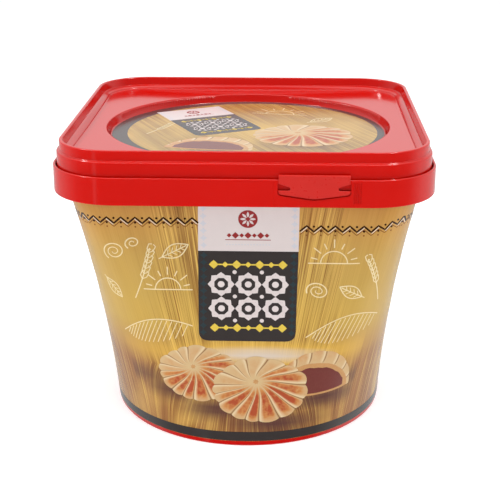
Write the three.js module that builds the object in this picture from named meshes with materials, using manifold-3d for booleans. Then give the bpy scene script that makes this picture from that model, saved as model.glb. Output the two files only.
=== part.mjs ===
// A shut food tub: a square-topped, round-based plastic body with a tear-off tab on its collar,
// a snap lid with a stacking rim and a round recess, and the printed films on both.
// Millimetres, +Z up, origin at the middle of the base, front facing -Y.

import * as THREE from "three";
import { mergeVertices } from "three/addons/utils/BufferGeometryUtils.js";
import Module from "manifold-3d";

// ---------------------------------------------------------------------------------------------
// Driving dimensions
// ---------------------------------------------------------------------------------------------

const HALF_WIDTH = 80; // across the collar, from the middle to a flat side
const HEIGHT = 138.4; // floor to the top of the lid's stacking rim

const base = { radius: 63.3, round: 0.7 }; // round foot, with its rounded lower edge

// The wall goes from a rounded square under the collar to the round foot, and bows in between.
const wall = { top: 119.2, half: 72.7, corner: 14.5, loftTop: 116.8, bow: 2 };

const collar = {
  half: HALF_WIDTH,
  corner: 28,
  bottom: 116.4,
  top: 128,
  thickness: 1.1,
  round: 0.35, // on its upper and lower edges
  channelFloor: 120.4, // the lid's skirt drops in as far as this
};

const film = { thickness: 0.3, gap: 0.3, bottom: 2.3, top: 118, lip: 0.05 }; // side label
const filmSeat = film.thickness + film.gap; // how far the wall behind the label is set in

const tab = {
  left: 14.8,
  right: 43.3,
  top: 129.8,
  shoulder: 122, // where the straight sides end
  point: 120, // lowest point of the shallow V
  round: 1.2, // at the two lower corners
  proud: 0.5, // stands out of the collar's face
  root: 0.8, // sunk into the collar
};

// Wedge-shaped slots beside the tab's neck, widest at their outer ends.
const slot = { reach: 4.9, overlap: 0.3, bottom: 123.6, tipTop: 124.9, mouthTop: 126.3 };

// The lid's two outer tiers: the skirt stands in the collar's channel, the rim stands above it.
const skirt = { half: 78.2, corner: 25.5, bottom: 120.7, top: 134, round: 0.6 };
const rim = { half: 76.85, corner: 23.5, width: 1.6, round: 0.6, foot: 0.4 };

// Inside the rim a leaning wall, a narrow ledge and a second wall lead down to the panel.
const innerWall = { lean: 0.7, ledge: 134.6, ledgeWidth: 1.1, ledgeDrop: 0.2, round: 0.3 };
const panel = { height: 131.9, half: 72.1, corner: 19, fillet: 0.8 };
const recess = { radius: 64.5, floorRadius: 62.8, floor: 128, round: 0.4 };
const disc = { radius: 62.3, thickness: 0.3, gap: 0.3 }; // round label on the recess floor

const STEPS_PER_SIDE = 16; // points along one side of a section, from corner to corner
const CORNER_FOCUS = 1.85; // how strongly those points gather at the corners
const WALL_RINGS = 9; // steps up the tub's wall and the film on it
const DISC_SIDES = 64;

// ---------------------------------------------------------------------------------------------
// Sections and skins
// ---------------------------------------------------------------------------------------------

// Bearings of the section points, close together at the four corners.
const bearings = [];
for (let side = 0; side < 4; side++) {
  for (let step = 0; step < STEPS_PER_SIDE; step++) {
    const along = (2 * step) / STEPS_PER_SIDE - 1;
    const swing = Math.sign(along) * (1 - (1 - Math.abs(along)) ** CORNER_FOCUS);
    bearings.push((side + swing / 2) * (Math.PI / 2));
  }
}

// Distance from the axis to the edge of a rounded square, at one bearing.
function reachOf(half, corner, bearing) {
  const cosine = Math.abs(Math.cos(bearing));
  const sine = Math.abs(Math.sin(bearing));
  const flat = half / Math.max(cosine, sine);
  const centre = half - corner; // of the corner's arc, the same along X and Y
  if (flat * Math.min(cosine, sine) <= centre) return flat;
  const along = centre * (cosine + sine);
  return along + Math.sqrt(along ** 2 - 2 * centre ** 2 + corner ** 2);
}

// One horizontal section: a rounded square, or a circle where corner equals half.
function section(half, corner, z) {
  return bearings.map((bearing) => {
    const reach = reachOf(half, corner, bearing);
    return [reach * Math.cos(bearing), reach * Math.sin(bearing), z];
  });
}

const circle = (radius, z) => section(radius, radius, z);

// The section of an edge whose sides are all moved in by one depth.
const inset = (edge, depth, z) => section(edge.half - depth, edge.corner - depth, z);

// Quarter round between two depths of an edge. It sets off straight up or down, or straight across.
function quarterRound(edge, from, to, setsOff, steps = 2) {
  const sections = [];
  for (let step = 0; step <= steps; step++) {
    const angle = (step / steps) * (Math.PI / 2);
    const early = Math.sin(angle);
    const late = 1 - Math.cos(angle);
    const [across, up] = setsOff === "across" ? [early, late] : [late, early];
    const depth = THREE.MathUtils.lerp(from.depth, to.depth, across);
    sections.push(inset(edge, depth, THREE.MathUtils.lerp(from.z, to.z, up)));
  }
  return sections;
}

// Skin over a run of sections, given from the bottom outwards and over the top.
// "capped" closes both ends with flat faces, "ring" joins the last section to the first.
function skin(sections, ends) {
  const count = bearings.length;
  const positions = sections.flat(2);
  const index = [];
  const runs = ends === "ring" ? sections.length : sections.length - 1;
  for (let run = 0; run < runs; run++) {
    const after = (run + 1) % sections.length;
    const lower = run * count;
    const upper = after * count;
    const rising = sections[after][0][2] >= sections[run][0][2];
    for (let i = 0; i < count; i++) {
      const next = (i + 1) % count;
      // Both faces of a thin film are split along the same diagonal.
      const [a, b] = rising ? [lower + i, upper + next] : [lower + next, upper + i];
      index.push(lower + i, lower + next, b);
      index.push(a, upper + next, upper + i);
    }
  }
  if (ends === "capped") {
    const last = sections.length - 1;
    const under = positions.length / 3;
    positions.push(0, 0, sections[0][0][2]);
    positions.push(0, 0, sections[last][0][2]);
    for (let i = 0; i < count; i++) {
      const next = (i + 1) % count;
      index.push(under, next, i);
      index.push(under + 1, last * count + i, last * count + next);
    }
  }
  const geometry = new THREE.BufferGeometry();
  geometry.setAttribute("position", new THREE.Float32BufferAttribute(positions, 3));
  geometry.setIndex(index);
  geometry.computeVertexNormals();
  return geometry;
}

// Section of the tub's wall at one height, set in by some depth.
function wallSection(z, depth) {
  const down = Math.max(0, 1 - z / wall.loftTop);
  const bow = 4 * wall.bow * down * (1 - down);
  const half = THREE.MathUtils.lerp(wall.half, base.radius, down) - bow;
  const corner = Math.min(THREE.MathUtils.lerp(wall.corner, base.radius, down), half);
  return inset({ half, corner }, depth, z);
}

// The stretch of wall behind the side label, which the label's own faces follow.
function labelledWall(depth) {
  const sections = [];
  for (let ring = 0; ring <= WALL_RINGS; ring++) {
    sections.push(wallSection(THREE.MathUtils.lerp(film.bottom, film.top, ring / WALL_RINGS), depth));
  }
  return sections;
}

// ---------------------------------------------------------------------------------------------
// Joining and cutting
// ---------------------------------------------------------------------------------------------

const wasm = await Module();
wasm.setup();

function toSolid(geometry) {
  const bare = geometry.clone();
  bare.deleteAttribute("normal");
  bare.deleteAttribute("uv");
  const merged = mergeVertices(bare, 1e-4);
  const mesh = new wasm.Mesh({
    numProp: 3,
    vertProperties: new Float32Array(merged.attributes.position.array),
    triVerts: new Uint32Array(merged.index.array),
  });
  return new wasm.Manifold(mesh);
}

function toGeometry(solid) {
  const mesh = solid.getMesh();
  const geometry = new THREE.BufferGeometry();
  geometry.setAttribute("position", new THREE.BufferAttribute(mesh.vertProperties, 3));
  geometry.setIndex(new THREE.BufferAttribute(mesh.triVerts, 1));
  geometry.computeVertexNormals();
  return geometry;
}

// A solid plate from an outline drawn in X and Z; front is its foremost Y.
function frontPlate(outline, front, depth) {
  const geometry = new THREE.ExtrudeGeometry(outline, {
    depth,
    bevelEnabled: false,
    curveSegments: 4,
  });
  geometry.rotateX(Math.PI / 2);
  geometry.translate(0, front + depth, 0);
  return toSolid(geometry);
}

// ---------------------------------------------------------------------------------------------
// Tub: body, collar and tear-off tab in one moulding
// ---------------------------------------------------------------------------------------------

function tubBody() {
  const foot = { half: base.radius, corner: base.radius };
  const footEdge = { depth: base.round, z: 0 };
  const { thickness, round, bottom, top, channelFloor } = collar;
  return skin(
    [
      ...quarterRound(foot, footEdge, { depth: 0, z: base.round }, "across"),
      wallSection(film.bottom - film.gap, 0),
      wallSection(film.bottom - film.gap + film.lip, filmSeat),
      ...labelledWall(filmSeat),
      wallSection(film.top + film.gap - film.lip, filmSeat),
      wallSection(film.top + film.gap, 0),
      wallSection(wall.top, 0),
      inset(collar, thickness, wall.top), // out along the underside of the web
      inset(collar, thickness, bottom + round),
      inset(collar, thickness - round, bottom),
      inset(collar, round, bottom),
      inset(collar, 0, bottom + round),
      inset(collar, 0, top - round),
      inset(collar, round, top),
      inset(collar, thickness - round, top),
      inset(collar, thickness, top - round),
      inset(collar, thickness, channelFloor),
    ],
    "capped",
  );
}

function tabPlate() {
  const { left, right, top, shoulder, point, round } = tab;
  const cornerDrop = ((shoulder - point) * round) / ((right - left) / 2);
  const outline = new THREE.Shape();
  outline.moveTo(left, top);
  outline.lineTo(left, shoulder + round);
  outline.quadraticCurveTo(left, shoulder, left + round, shoulder - cornerDrop);
  outline.lineTo((left + right) / 2, point);
  outline.lineTo(right - round, shoulder - cornerDrop);
  outline.quadraticCurveTo(right, shoulder, right, shoulder + round);
  outline.lineTo(right, top);
  outline.closePath();
  return frontPlate(outline, -HALF_WIDTH - tab.proud, tab.proud + tab.root);
}

// One slot's wedge; side is -1 at the tab's left and 1 at its right.
function slotWedge(side) {
  const mouth = side < 0 ? tab.left - slot.overlap : tab.right + slot.overlap;
  const tip = mouth - side * slot.reach;
  const outline = new THREE.Shape();
  outline.moveTo(mouth, slot.bottom);
  outline.lineTo(mouth, slot.mouthTop);
  outline.lineTo(tip, slot.tipTop);
  outline.lineTo(tip, slot.bottom);
  outline.closePath();
  const clear = tab.proud + slot.overlap; // starts in front of the tab and ends behind the collar
  return frontPlate(outline, -HALF_WIDTH - clear, clear + collar.thickness + slot.overlap);
}

function tubGeometry() {
  let solid = toSolid(tubBody()).add(tabPlate());
  for (const side of [-1, 1]) solid = solid.subtract(slotWedge(side));
  return toGeometry(solid);
}

// ---------------------------------------------------------------------------------------------
// Lid: skirt, stacking rim, stepped inner wall, panel and round recess
// ---------------------------------------------------------------------------------------------

function lidGeometry() {
  const rimTop = HEIGHT - rim.round;
  const ledgeDepth = rim.width + innerWall.lean;
  const ledgeEnd = ledgeDepth + innerWall.ledgeWidth;
  const skirtFoot = { depth: skirt.round, z: skirt.bottom };
  const skirtLow = { depth: 0, z: skirt.bottom + skirt.round };
  const skirtHigh = { depth: 0, z: skirt.top - skirt.round };
  const shoulder = { depth: skirt.round, z: skirt.top };
  const crestOut = { depth: rim.round, z: HEIGHT };
  const crestIn = { depth: rim.width - rim.round, z: HEIGHT };
  const wallFoot = { depth: 0, z: panel.height + panel.fillet };
  const panelEdge = { depth: panel.fillet, z: panel.height };
  return skin(
    [
      ...quarterRound(skirt, skirtFoot, skirtLow, "across"),
      ...quarterRound(skirt, skirtHigh, shoulder, "up"),
      inset(rim, -rim.foot, skirt.top),
      inset(rim, 0, skirt.top + rim.foot),
      ...quarterRound(rim, { depth: 0, z: rimTop }, crestOut, "up"),
      ...quarterRound(rim, crestIn, { depth: rim.width, z: rimTop }, "across"),
      inset(rim, ledgeDepth, innerWall.ledge + innerWall.round),
      inset(rim, ledgeDepth + innerWall.round, innerWall.ledge),
      inset(rim, ledgeEnd, innerWall.ledge - innerWall.ledgeDrop),
      ...quarterRound(panel, wallFoot, panelEdge, "up"),
      circle(recess.radius + recess.round, panel.height),
      circle(recess.radius, panel.height - recess.round),
      circle(recess.floorRadius + recess.round, recess.floor + recess.round),
      circle(recess.floorRadius, recess.floor),
    ],
    "capped",
  );
}

// ---------------------------------------------------------------------------------------------
// Printed films
// ---------------------------------------------------------------------------------------------

function sideFilmGeometry() {
  return skin([...labelledWall(0), ...labelledWall(film.thickness).reverse()], "ring");
}

function lidFilmGeometry() {
  const geometry = new THREE.CylinderGeometry(disc.radius, disc.radius, disc.thickness, DISC_SIDES);
  return geometry.rotateX(Math.PI / 2);
}

// ---------------------------------------------------------------------------------------------
// Assembly
// ---------------------------------------------------------------------------------------------

const redPlastic = { color: 0xcf1c12, roughness: 0.22, metalness: 0 };
const sidePrint = { color: 0xc39148, roughness: 0.3, metalness: 0 };
const lidPrint = { color: 0xd9c08a, roughness: 0.3, metalness: 0 };

function part(name, geometry, finish) {
  const mesh = new THREE.Mesh(geometry, new THREE.MeshStandardMaterial(finish));
  mesh.name = name;
  return mesh;
}

const labelledTub = new THREE.Group();
labelledTub.add(part("tub", tubGeometry(), redPlastic));
labelledTub.add(part("side_label", sideFilmGeometry(), sidePrint));

const labelledLid = new THREE.Group();
const lidLabel = part("lid_label", lidFilmGeometry(), lidPrint);
lidLabel.position.z = recess.floor + disc.gap + disc.thickness / 2;
labelledLid.add(part("lid", lidGeometry(), redPlastic), lidLabel);

const object = new THREE.Group();
object.add(labelledTub, labelledLid);

export default object;
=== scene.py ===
"""A shut, printed food tub of red polypropylene with a snap lid, dressed for rendering.

The tub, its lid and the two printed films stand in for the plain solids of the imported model. Sizes
are in millimetres and become metres where a mesh is made. The front, with the tab, faces -Y.
"""

import logging
import math
import random
from collections import Counter
from dataclasses import dataclass, field
from enum import Enum
from itertools import pairwise
from typing import Any, Callable, Protocol, Sequence

import bmesh
import bpy
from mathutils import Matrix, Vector
from mathutils.geometry import delaunay_2d_cdt


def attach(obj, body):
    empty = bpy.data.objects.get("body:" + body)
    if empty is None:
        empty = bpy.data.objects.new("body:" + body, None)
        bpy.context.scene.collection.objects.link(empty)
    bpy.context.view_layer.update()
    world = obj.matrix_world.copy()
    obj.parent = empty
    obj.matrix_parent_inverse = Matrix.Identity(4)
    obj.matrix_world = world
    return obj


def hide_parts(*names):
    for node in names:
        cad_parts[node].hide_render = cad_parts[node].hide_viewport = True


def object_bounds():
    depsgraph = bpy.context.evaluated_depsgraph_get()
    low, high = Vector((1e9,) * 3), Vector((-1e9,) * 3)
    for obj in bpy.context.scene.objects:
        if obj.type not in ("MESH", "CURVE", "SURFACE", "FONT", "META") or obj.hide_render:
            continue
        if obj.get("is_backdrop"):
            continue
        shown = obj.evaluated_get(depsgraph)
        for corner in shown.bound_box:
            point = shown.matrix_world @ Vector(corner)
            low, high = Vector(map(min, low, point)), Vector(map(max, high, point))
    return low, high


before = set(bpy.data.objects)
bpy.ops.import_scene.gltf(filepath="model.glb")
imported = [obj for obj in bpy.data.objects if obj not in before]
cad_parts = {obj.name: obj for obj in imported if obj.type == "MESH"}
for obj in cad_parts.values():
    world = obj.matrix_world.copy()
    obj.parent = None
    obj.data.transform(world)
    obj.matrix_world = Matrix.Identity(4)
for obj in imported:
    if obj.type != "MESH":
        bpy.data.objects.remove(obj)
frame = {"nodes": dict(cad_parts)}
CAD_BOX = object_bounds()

LOG = logging.getLogger("food_tub")

MM = 0.001
BODY = "root"

# UV maps that carry a print: places in millimetres, tones, and soft light and shade.
PRINT_MAP = "print"
TONE_MAP = "tone"
GLOW_MAP = "glow"

Pair = tuple[float, float]  # two values that belong together, such as a start and an end
Point2 = tuple[float, float]
Point3 = tuple[float, float, float]
Loop = Sequence[Point2]
Mesh = bpy.types.Mesh
NodeTree = bpy.types.NodeTree
Piece = bpy.types.Object
Mark = Callable[[float, float, Point3], Point2]  # from the share round a skin, its girth and the point
Maps = dict[str, Mark]


# ---- Small helpers ----


def lerp(start: float, end: float, share: float) -> float:
    """The value a share of the way from start to end."""
    return start + (end - start) * share


def smooth_step(low: float, high: float, value: float) -> float:
    """0 at low, 1 at high, and an S-shaped change in between."""
    share = min(1.0, max(0.0, (value - low) / (high - low)))
    return share * share * (3 - 2 * share)


def linear(hex_code: str) -> tuple[float, float, float, float]:
    """Turns an sRGB hex colour into a linear one.

    Args:
        hex_code: The colour, such as #BC0A02.

    Returns:
        Linear red, green, blue and alpha.
    """
    shares = [int(hex_code[i : i + 2], 16) / 255 for i in (1, 3, 5)]
    red, green, blue = (s / 12.92 if s <= 0.04045 else ((s + 0.055) / 1.055) ** 2.4 for s in shares)
    return red, green, blue, 1.0


def per_metre(width: float) -> float:
    """Scale of a noise on metres whose blotches are about width millimetres across."""
    return 1 / (width * MM)


def add_node(
    tree: NodeTree, kind: str, inputs: dict[Any, Any] | None = None, **settings: Any
) -> bpy.types.Node:
    """Adds a shader node with its settings, its values and the links into it.

    Args:
        tree: The node tree that gets the node.
        kind: Blender's name of the node's type, without "ShaderNode" in front.
        inputs: For each input socket, by name or number, a value or another node's output.
        settings: Properties of the node itself. "stops" are a colour ramp's places and hex colours.

    Returns:
        The new node.
    """
    node = tree.nodes.new("ShaderNode" + kind)
    for place, hex_code in settings.pop("stops", ()):
        elements = node.color_ramp.elements
        ends = {0.0: elements[0], 1.0: elements[-1]}
        stop = ends.get(place) or elements.new(place)
        stop.color = linear(hex_code)
    for name, value in settings.items():
        setattr(node, name, value)
    for socket, value in (inputs or {}).items():
        if isinstance(value, bpy.types.NodeSocket):
            tree.links.new(value, node.inputs[socket])
        else:
            node.inputs[socket].default_value = value
    return node


# ---- Finishes ----


@dataclass(frozen=True)
class Finish:
    """What a piece is made of. Each kind of finish says what its shader takes."""

    name: str

    def material(self) -> bpy.types.Material:
        """Makes the finish into a material.

        Returns:
            The material, made only once.
        """
        if self.name in bpy.data.materials:
            return bpy.data.materials[self.name]
        material = bpy.data.materials.new(self.name)
        material.use_nodes = True
        tree = material.node_tree
        tree.nodes.clear()
        shader = add_node(tree, "BsdfPrincipled", self.surface(tree))
        add_node(tree, "OutputMaterial", {0: shader.outputs[0]})
        return material

    def surface(self, tree: NodeTree) -> dict[str, Any]:
        """Adds what goes into the shader: each kind of finish has its own way.

        Args:
            tree: The material's nodes.

        Returns:
            The values and sockets for the shader's inputs.
        """
        raise NotImplementedError


@dataclass(frozen=True)
class MouldedPolypropylene(Finish):
    """Injection-moulded polypropylene. The polished mould gives a clear gloss with a faint ripple."""

    body: str
    thin: str  # where the melt ran thin, a little more light comes through
    roughness: Pair = (0.1, 0.18)
    ior: float = 1.49
    flow_width: float = 26.0  # broad clouds in the colour
    ripple_width: float = 7.0  # slow waves of the cooled skin
    ripple_depth: float = 0.006
    polish_width: float = 1.1  # grain of the mould's polish, drawn coarse enough to show

    def surface(self, tree: NodeTree) -> dict[str, Any]:
        """Clouded colour, grained gloss and a rippled skin."""
        place = add_node(tree, "TexCoord").outputs["Object"]
        noises = [
            add_node(tree, "TexNoise", {"Vector": place, "Scale": per_metre(width), "Detail": 2.0})
            for width in (self.flow_width, self.polish_width, self.ripple_width)
        ]
        clouds, grain, waves = (noise.outputs["Fac"] for noise in noises)
        tones = {0: clouds, 6: linear(self.body), 7: linear(self.thin)}
        low, high = self.roughness
        gloss = {"Value": grain, "To Min": low, "To Max": high}
        relief = {"Height": waves, "Distance": self.ripple_depth * MM}
        return {
            "Base Color": add_node(tree, "Mix", tones, data_type="RGBA").outputs[2],
            "Roughness": add_node(tree, "MapRange", gloss).outputs["Result"],
            "Normal": add_node(tree, "Bump", relief).outputs["Normal"],
            "IOR": self.ior,
        }


@dataclass(frozen=True)
class PrintedInk(Finish):
    """Offset ink in a moulded-in film. Its solid tone carries a fine screen and a satin gloss."""

    colour: str
    second: str
    mottle_width: float = 5.0  # slow change of tone across a solid field
    screen_width: float = 0.5  # three times as coarse as 60 lines a centimetre, so that it shows
    screen_share: float = 0.5
    roughness: float = 0.22
    ior: float = 1.45

    def surface(self, tree: NodeTree) -> dict[str, Any]:
        """One ink with slow mottle and a fine screen."""
        place = add_node(tree, "TexCoord").outputs["Object"]
        slow, fine = (
            add_node(tree, "TexNoise", {"Vector": place, "Scale": per_metre(width), "Detail": 2.0})
            for width in (self.mottle_width, self.screen_width)
        )
        shares = {0: self.screen_share, 2: slow.outputs["Fac"], 3: fine.outputs["Fac"]}
        blend = add_node(tree, "Mix", shares, data_type="FLOAT").outputs[0]
        tones = {0: blend, 6: linear(self.colour), 7: linear(self.second)}
        return {
            "Base Color": add_node(tree, "Mix", tones, data_type="RGBA").outputs[2],
            "Roughness": self.roughness,
            "IOR": self.ior,
        }


@dataclass(frozen=True)
class PrintedWood(Finish):
    """Sawn boards printed on film: a warm ground with long streaks of grain, under a satin gloss.

    The print map holds the place across and along the grain in millimetres. The tone map holds the
    share of the print's height and the strength of the grain, and the glow map soft light and shade.
    """

    stops: tuple[tuple[float, str], ...]  # ground tones from the foot of the print to its top
    grain: str = "#75451E"
    light_grain: str = "#DDB45C"
    sunny: str = "#DDB24C"
    hazy: str = "#C9BCB0"
    shade: str = "#5A3A34"
    streak: Pair = (0.62, 70.0)  # width and length of one streak
    line: Pair = (0.27, 100.0)  # and of a dark pore line
    board: Pair = (10.0, 600.0)
    cloud: Pair = (30.0, 42.0)
    roughness: float = 0.22
    ior: float = 1.45

    def surface(self, tree: NodeTree) -> dict[str, Any]:
        """The ground, the grain laid over it, then light and shade."""
        place = add_node(tree, "UVMap", uv_map=PRINT_MAP).outputs[0]
        tones, glows = (
            add_node(tree, "SeparateXYZ", {0: add_node(tree, "UVMap", uv_map=name).outputs[0]}).outputs
            for name in (TONE_MAP, GLOW_MAP)
        )
        noises = []
        for width, length in (self.streak, self.line, self.board, self.cloud):
            scale = (1 / width, 1 / length, 1.0)
            stretched = add_node(tree, "Mapping", {"Vector": place, "Scale": scale}).outputs[0]
            noise = add_node(tree, "TexNoise", {"Vector": stretched, "Scale": 1.0, "Detail": 2.0})
            noises.append(noise.outputs["Fac"])
        streaks, lines, boards, clouds = noises
        colour = add_node(tree, "ValToRGB", {0: tones["X"]}, stops=self.stops).outputs[0]
        # Each layer's noise, where its mask begins and is full, how strong it is, and its ink.
        for noise, none, full, amount, overlay in (
            (boards, 0.5, 0.72, 0.5, self.grain),
            (boards, 0.5, 0.3, 0.45, self.light_grain),
            (streaks, 0.5, 0.72, 0.75, self.grain),
            (streaks, 0.48, 0.3, 0.6, self.light_grain),
            (lines, 0.56, 0.68, 0.9, self.grain),
            (clouds, 0.45, 0.75, 0.35, self.light_grain),
        ):
            window = {"Value": noise, "From Min": none, "From Max": full, "To Max": amount}
            mask = add_node(tree, "MapRange", window, interpolation_type="SMOOTHSTEP").outputs[0]
            mask = add_node(tree, "Math", {0: mask, 1: tones["Y"]}, operation="MULTIPLY").outputs[0]
            layers = {0: mask, 6: colour, 7: linear(overlay)}
            colour = add_node(tree, "Mix", layers, data_type="RGBA").outputs[2]
        light_stops = ((0.0, self.sunny), (0.55, self.sunny), (1.0, self.hazy))
        light = add_node(tree, "ValToRGB", {0: glows["X"]}, stops=light_stops).outputs[0]
        for mask, overlay in ((glows["X"], light), (glows["Y"], linear(self.shade))):
            layers = {0: mask, 6: colour, 7: overlay}
            colour = add_node(tree, "Mix", layers, data_type="RGBA").outputs[2]
        return {"Base Color": colour, "Roughness": self.roughness, "IOR": self.ior}


@dataclass(frozen=True)
class PrintedDough(Finish):
    """Baked, pleated dough printed on film: cream ridges, toasted hollows and dark folds.

    The print map holds the amount of toasting, and the relief from fold (0) over flat to ridge (1).
    """

    cream: str = "#C6AA7E"
    golden: str = "#BF8148"
    toasted: str = "#A64A2A"
    ridge: str = "#DCCAA8"
    fold: str = "#74421F"
    fleck_width: float = 1.9
    fleck_strength: float = 0.85
    roughness: float = 0.24
    ior: float = 1.45

    def surface(self, tree: NodeTree) -> dict[str, Any]:
        """Toasting with soft flecked edges, then the ridges and the folds."""
        place = add_node(tree, "TexCoord").outputs["Object"]
        noise = {"Vector": place, "Scale": per_metre(self.fleck_width), "Detail": 3.0}
        flecks = add_node(tree, "TexNoise", noise).outputs["Fac"]
        marks = add_node(tree, "SeparateXYZ", {0: add_node(tree, "UVMap", uv_map=PRINT_MAP).outputs[0]})
        spread = {"Value": flecks, "To Min": -self.fleck_strength, "To Max": self.fleck_strength}
        wander = add_node(tree, "MapRange", spread).outputs[0]
        lifted = {0: wander, 1: marks.outputs["X"], 2: marks.outputs["X"]}
        toasting = add_node(tree, "Math", lifted, operation="MULTIPLY_ADD").outputs[0]
        stops = ((0.0, self.cream), (0.42, self.golden), (0.85, self.toasted), (1.0, self.toasted))
        colour = add_node(tree, "ValToRGB", {0: toasting}, stops=stops).outputs[0]
        for none, full, amount, overlay in ((0.55, 1.0, 0.9, self.ridge), (0.45, 0.0, 0.95, self.fold)):
            window = {"Value": marks.outputs["Y"], "From Min": none, "From Max": full, "To Max": amount}
            mask = add_node(tree, "MapRange", window).outputs[0]
            layers = {0: mask, 6: colour, 7: linear(overlay)}
            colour = add_node(tree, "Mix", layers, data_type="RGBA").outputs[2]
        return {"Base Color": colour, "Roughness": self.roughness, "IOR": self.ior}


RED = MouldedPolypropylene("moulded_polypropylene_red", "#BC0A02", "#C20D04")
# Painted light: a paler copy of the red for the light that the leaning tab catches. Its blasted face is
# rougher.
RED_TAB_PAINTED_LIGHT = MouldedPolypropylene("moulded_polypropylene_red_tab", "#C0180F", "#C61D13", (0.24, 0.34))
WHITE = PrintedInk("ink_white", "#D6CBC9", "#CDC2C1")
CHARCOAL = PrintedInk("ink_charcoal", "#352F2E", "#3B3635")
SLATE = PrintedInk("ink_slate", "#2B383D", "#333F44")
PEARL = PrintedInk("ink_pearl", "#BFC0C8", "#C8C7CE")
MAROON = PrintedInk("ink_maroon", "#8A2528", "#97302E")
YELLOW = PrintedInk("ink_yellow", "#D4B53A", "#DEC453")
UMBER = PrintedInk("ink_umber", "#34180A", "#3E2210")
PALE_EDGE = PrintedInk("ink_pale_edge", "#E0CCB4", "#D6BC94")
FAINT_BROWN = PrintedInk("ink_faint_brown", "#8A5626", "#7F4E22")
CHALK = PrintedInk("ink_chalk", "#E8D9B4", "#D6BF86", mottle_width=2.0)
FILLING = PrintedInk("ink_filling", "#66302C", "#783E38", mottle_width=1.2)
CRUST = PrintedInk("ink_crust", "#AE7546", "#C8A06A", mottle_width=1.5)
DOUGH = PrintedDough("ink_dough")


# ---- Sections and skins ----


@dataclass(frozen=True)
class Section:
    """A level section: a square with rounded corners, or a circle where corner equals half."""

    half: float
    corner: float

    @property
    def quarter(self) -> float:
        """Length of one flat side with one corner's arc."""
        return 2 * (self.half - self.corner) + math.pi / 2 * self.corner

    def inset(self, depth: float) -> "Section":
        """The section with every side moved in by a depth."""
        return Section(self.half - depth, self.corner - depth)

    def at(self, run: float, lift: float = 0.0) -> Point2:
        """A point on the section.

        Args:
            run: Distance along the section from the middle of the front, rightwards.
            lift: How far the point stands out of the section.

        Returns:
            The point's x and y.
        """
        flat = self.half - self.corner
        turns, along = divmod(run + flat, self.quarter)
        if along <= 2 * flat:
            x, y = along - flat, -self.half - lift
        else:
            swing = (along - 2 * flat) / self.corner
            reach = self.corner + lift
            x, y = flat + reach * math.sin(swing), -flat - reach * math.cos(swing)
        for _ in range(int(turns) % 4):
            x, y = -y, x
        return x, y


@dataclass(frozen=True)
class Ring:
    """One closed run of points on a skin, starting at the middle of the back."""

    points: tuple[Point3, ...]
    girth: float

    @staticmethod
    def level(
        section: Section, height: float, count: int, lift: Callable[[float], float] = lambda share: 0.0
    ) -> "Ring":
        """A level ring round a section.

        Args:
            section: The section that it follows.
            height: Its height.
            count: Number of points.
            lift: How far it stands out of the section at a share of the way round.

        Returns:
            The ring.
        """
        girth = 4 * section.quarter
        shares = [step / count - 0.5 for step in range(count)]
        points = tuple((*section.at(girth * share, lift(share)), height) for share in shares)
        return Ring(points, girth)

    def towards(self, other: "Ring", share: float) -> "Ring":
        """A ring between this one and another.

        Args:
            other: The other ring.
            share: Share of the way to it.

        Returns:
            The new ring.
        """
        points = tuple(
            tuple(lerp(a, b, share) for a, b in zip(mine, theirs))
            for mine, theirs in zip(self.points, other.points)
        )
        return Ring(points, lerp(self.girth, other.girth, share))

    def raised(self, rise: Callable[[float], float]) -> "Ring":
        """The ring with each point raised by rise(its distance from the middle)."""
        points = tuple((x, y, z + rise(math.hypot(x, y))) for x, y, z in self.points)
        return Ring(points, self.girth)


class Ends(Enum):
    """How a skin over a run of rings is closed."""

    CAPPED = "faces to a middle point over the first and the last ring"
    JOINED = "the last ring joined to the first"


class SetsOff(Enum):
    """The way in which a rounded edge starts."""

    UP = "straight up or down"
    ACROSS = "straight across"


@dataclass
class Profile:
    """The rings of one edge shape, each the same section inset by some depth."""

    count: int
    rings: list[Ring] = field(default_factory=list)

    def at(self, section: Section, height: float) -> "Profile":
        """Adds one ring."""
        self.rings.append(Ring.level(section, height, self.count))
        return self

    def rounded(
        self, edge: Section, start: Point2, end: Point2, sets_off: SetsOff, steps: int = 5
    ) -> "Profile":
        """Adds a quarter round.

        Args:
            edge: The section whose edge is rounded.
            start: Depth inside the edge, and height, where the round starts.
            end: Depth and height where it ends.
            sets_off: Whether it sets off upright or level.
            steps: Number of flats in it.

        Returns:
            The same profile.
        """
        for step in range(steps + 1):
            angle = step / steps * math.pi / 2
            early, late = math.sin(angle), 1 - math.cos(angle)
            across, up = (early, late) if sets_off is SetsOff.ACROSS else (late, early)
            depth = lerp(start[0], end[0], across)
            self.at(edge.inset(depth), lerp(start[1], end[1], up))
        return self


def place_on_print(share: float, girth: float, point: Point3) -> Point2:
    """The plain print map of a skin: the distance along it and the height."""
    return share * girth, point[2]


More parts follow.
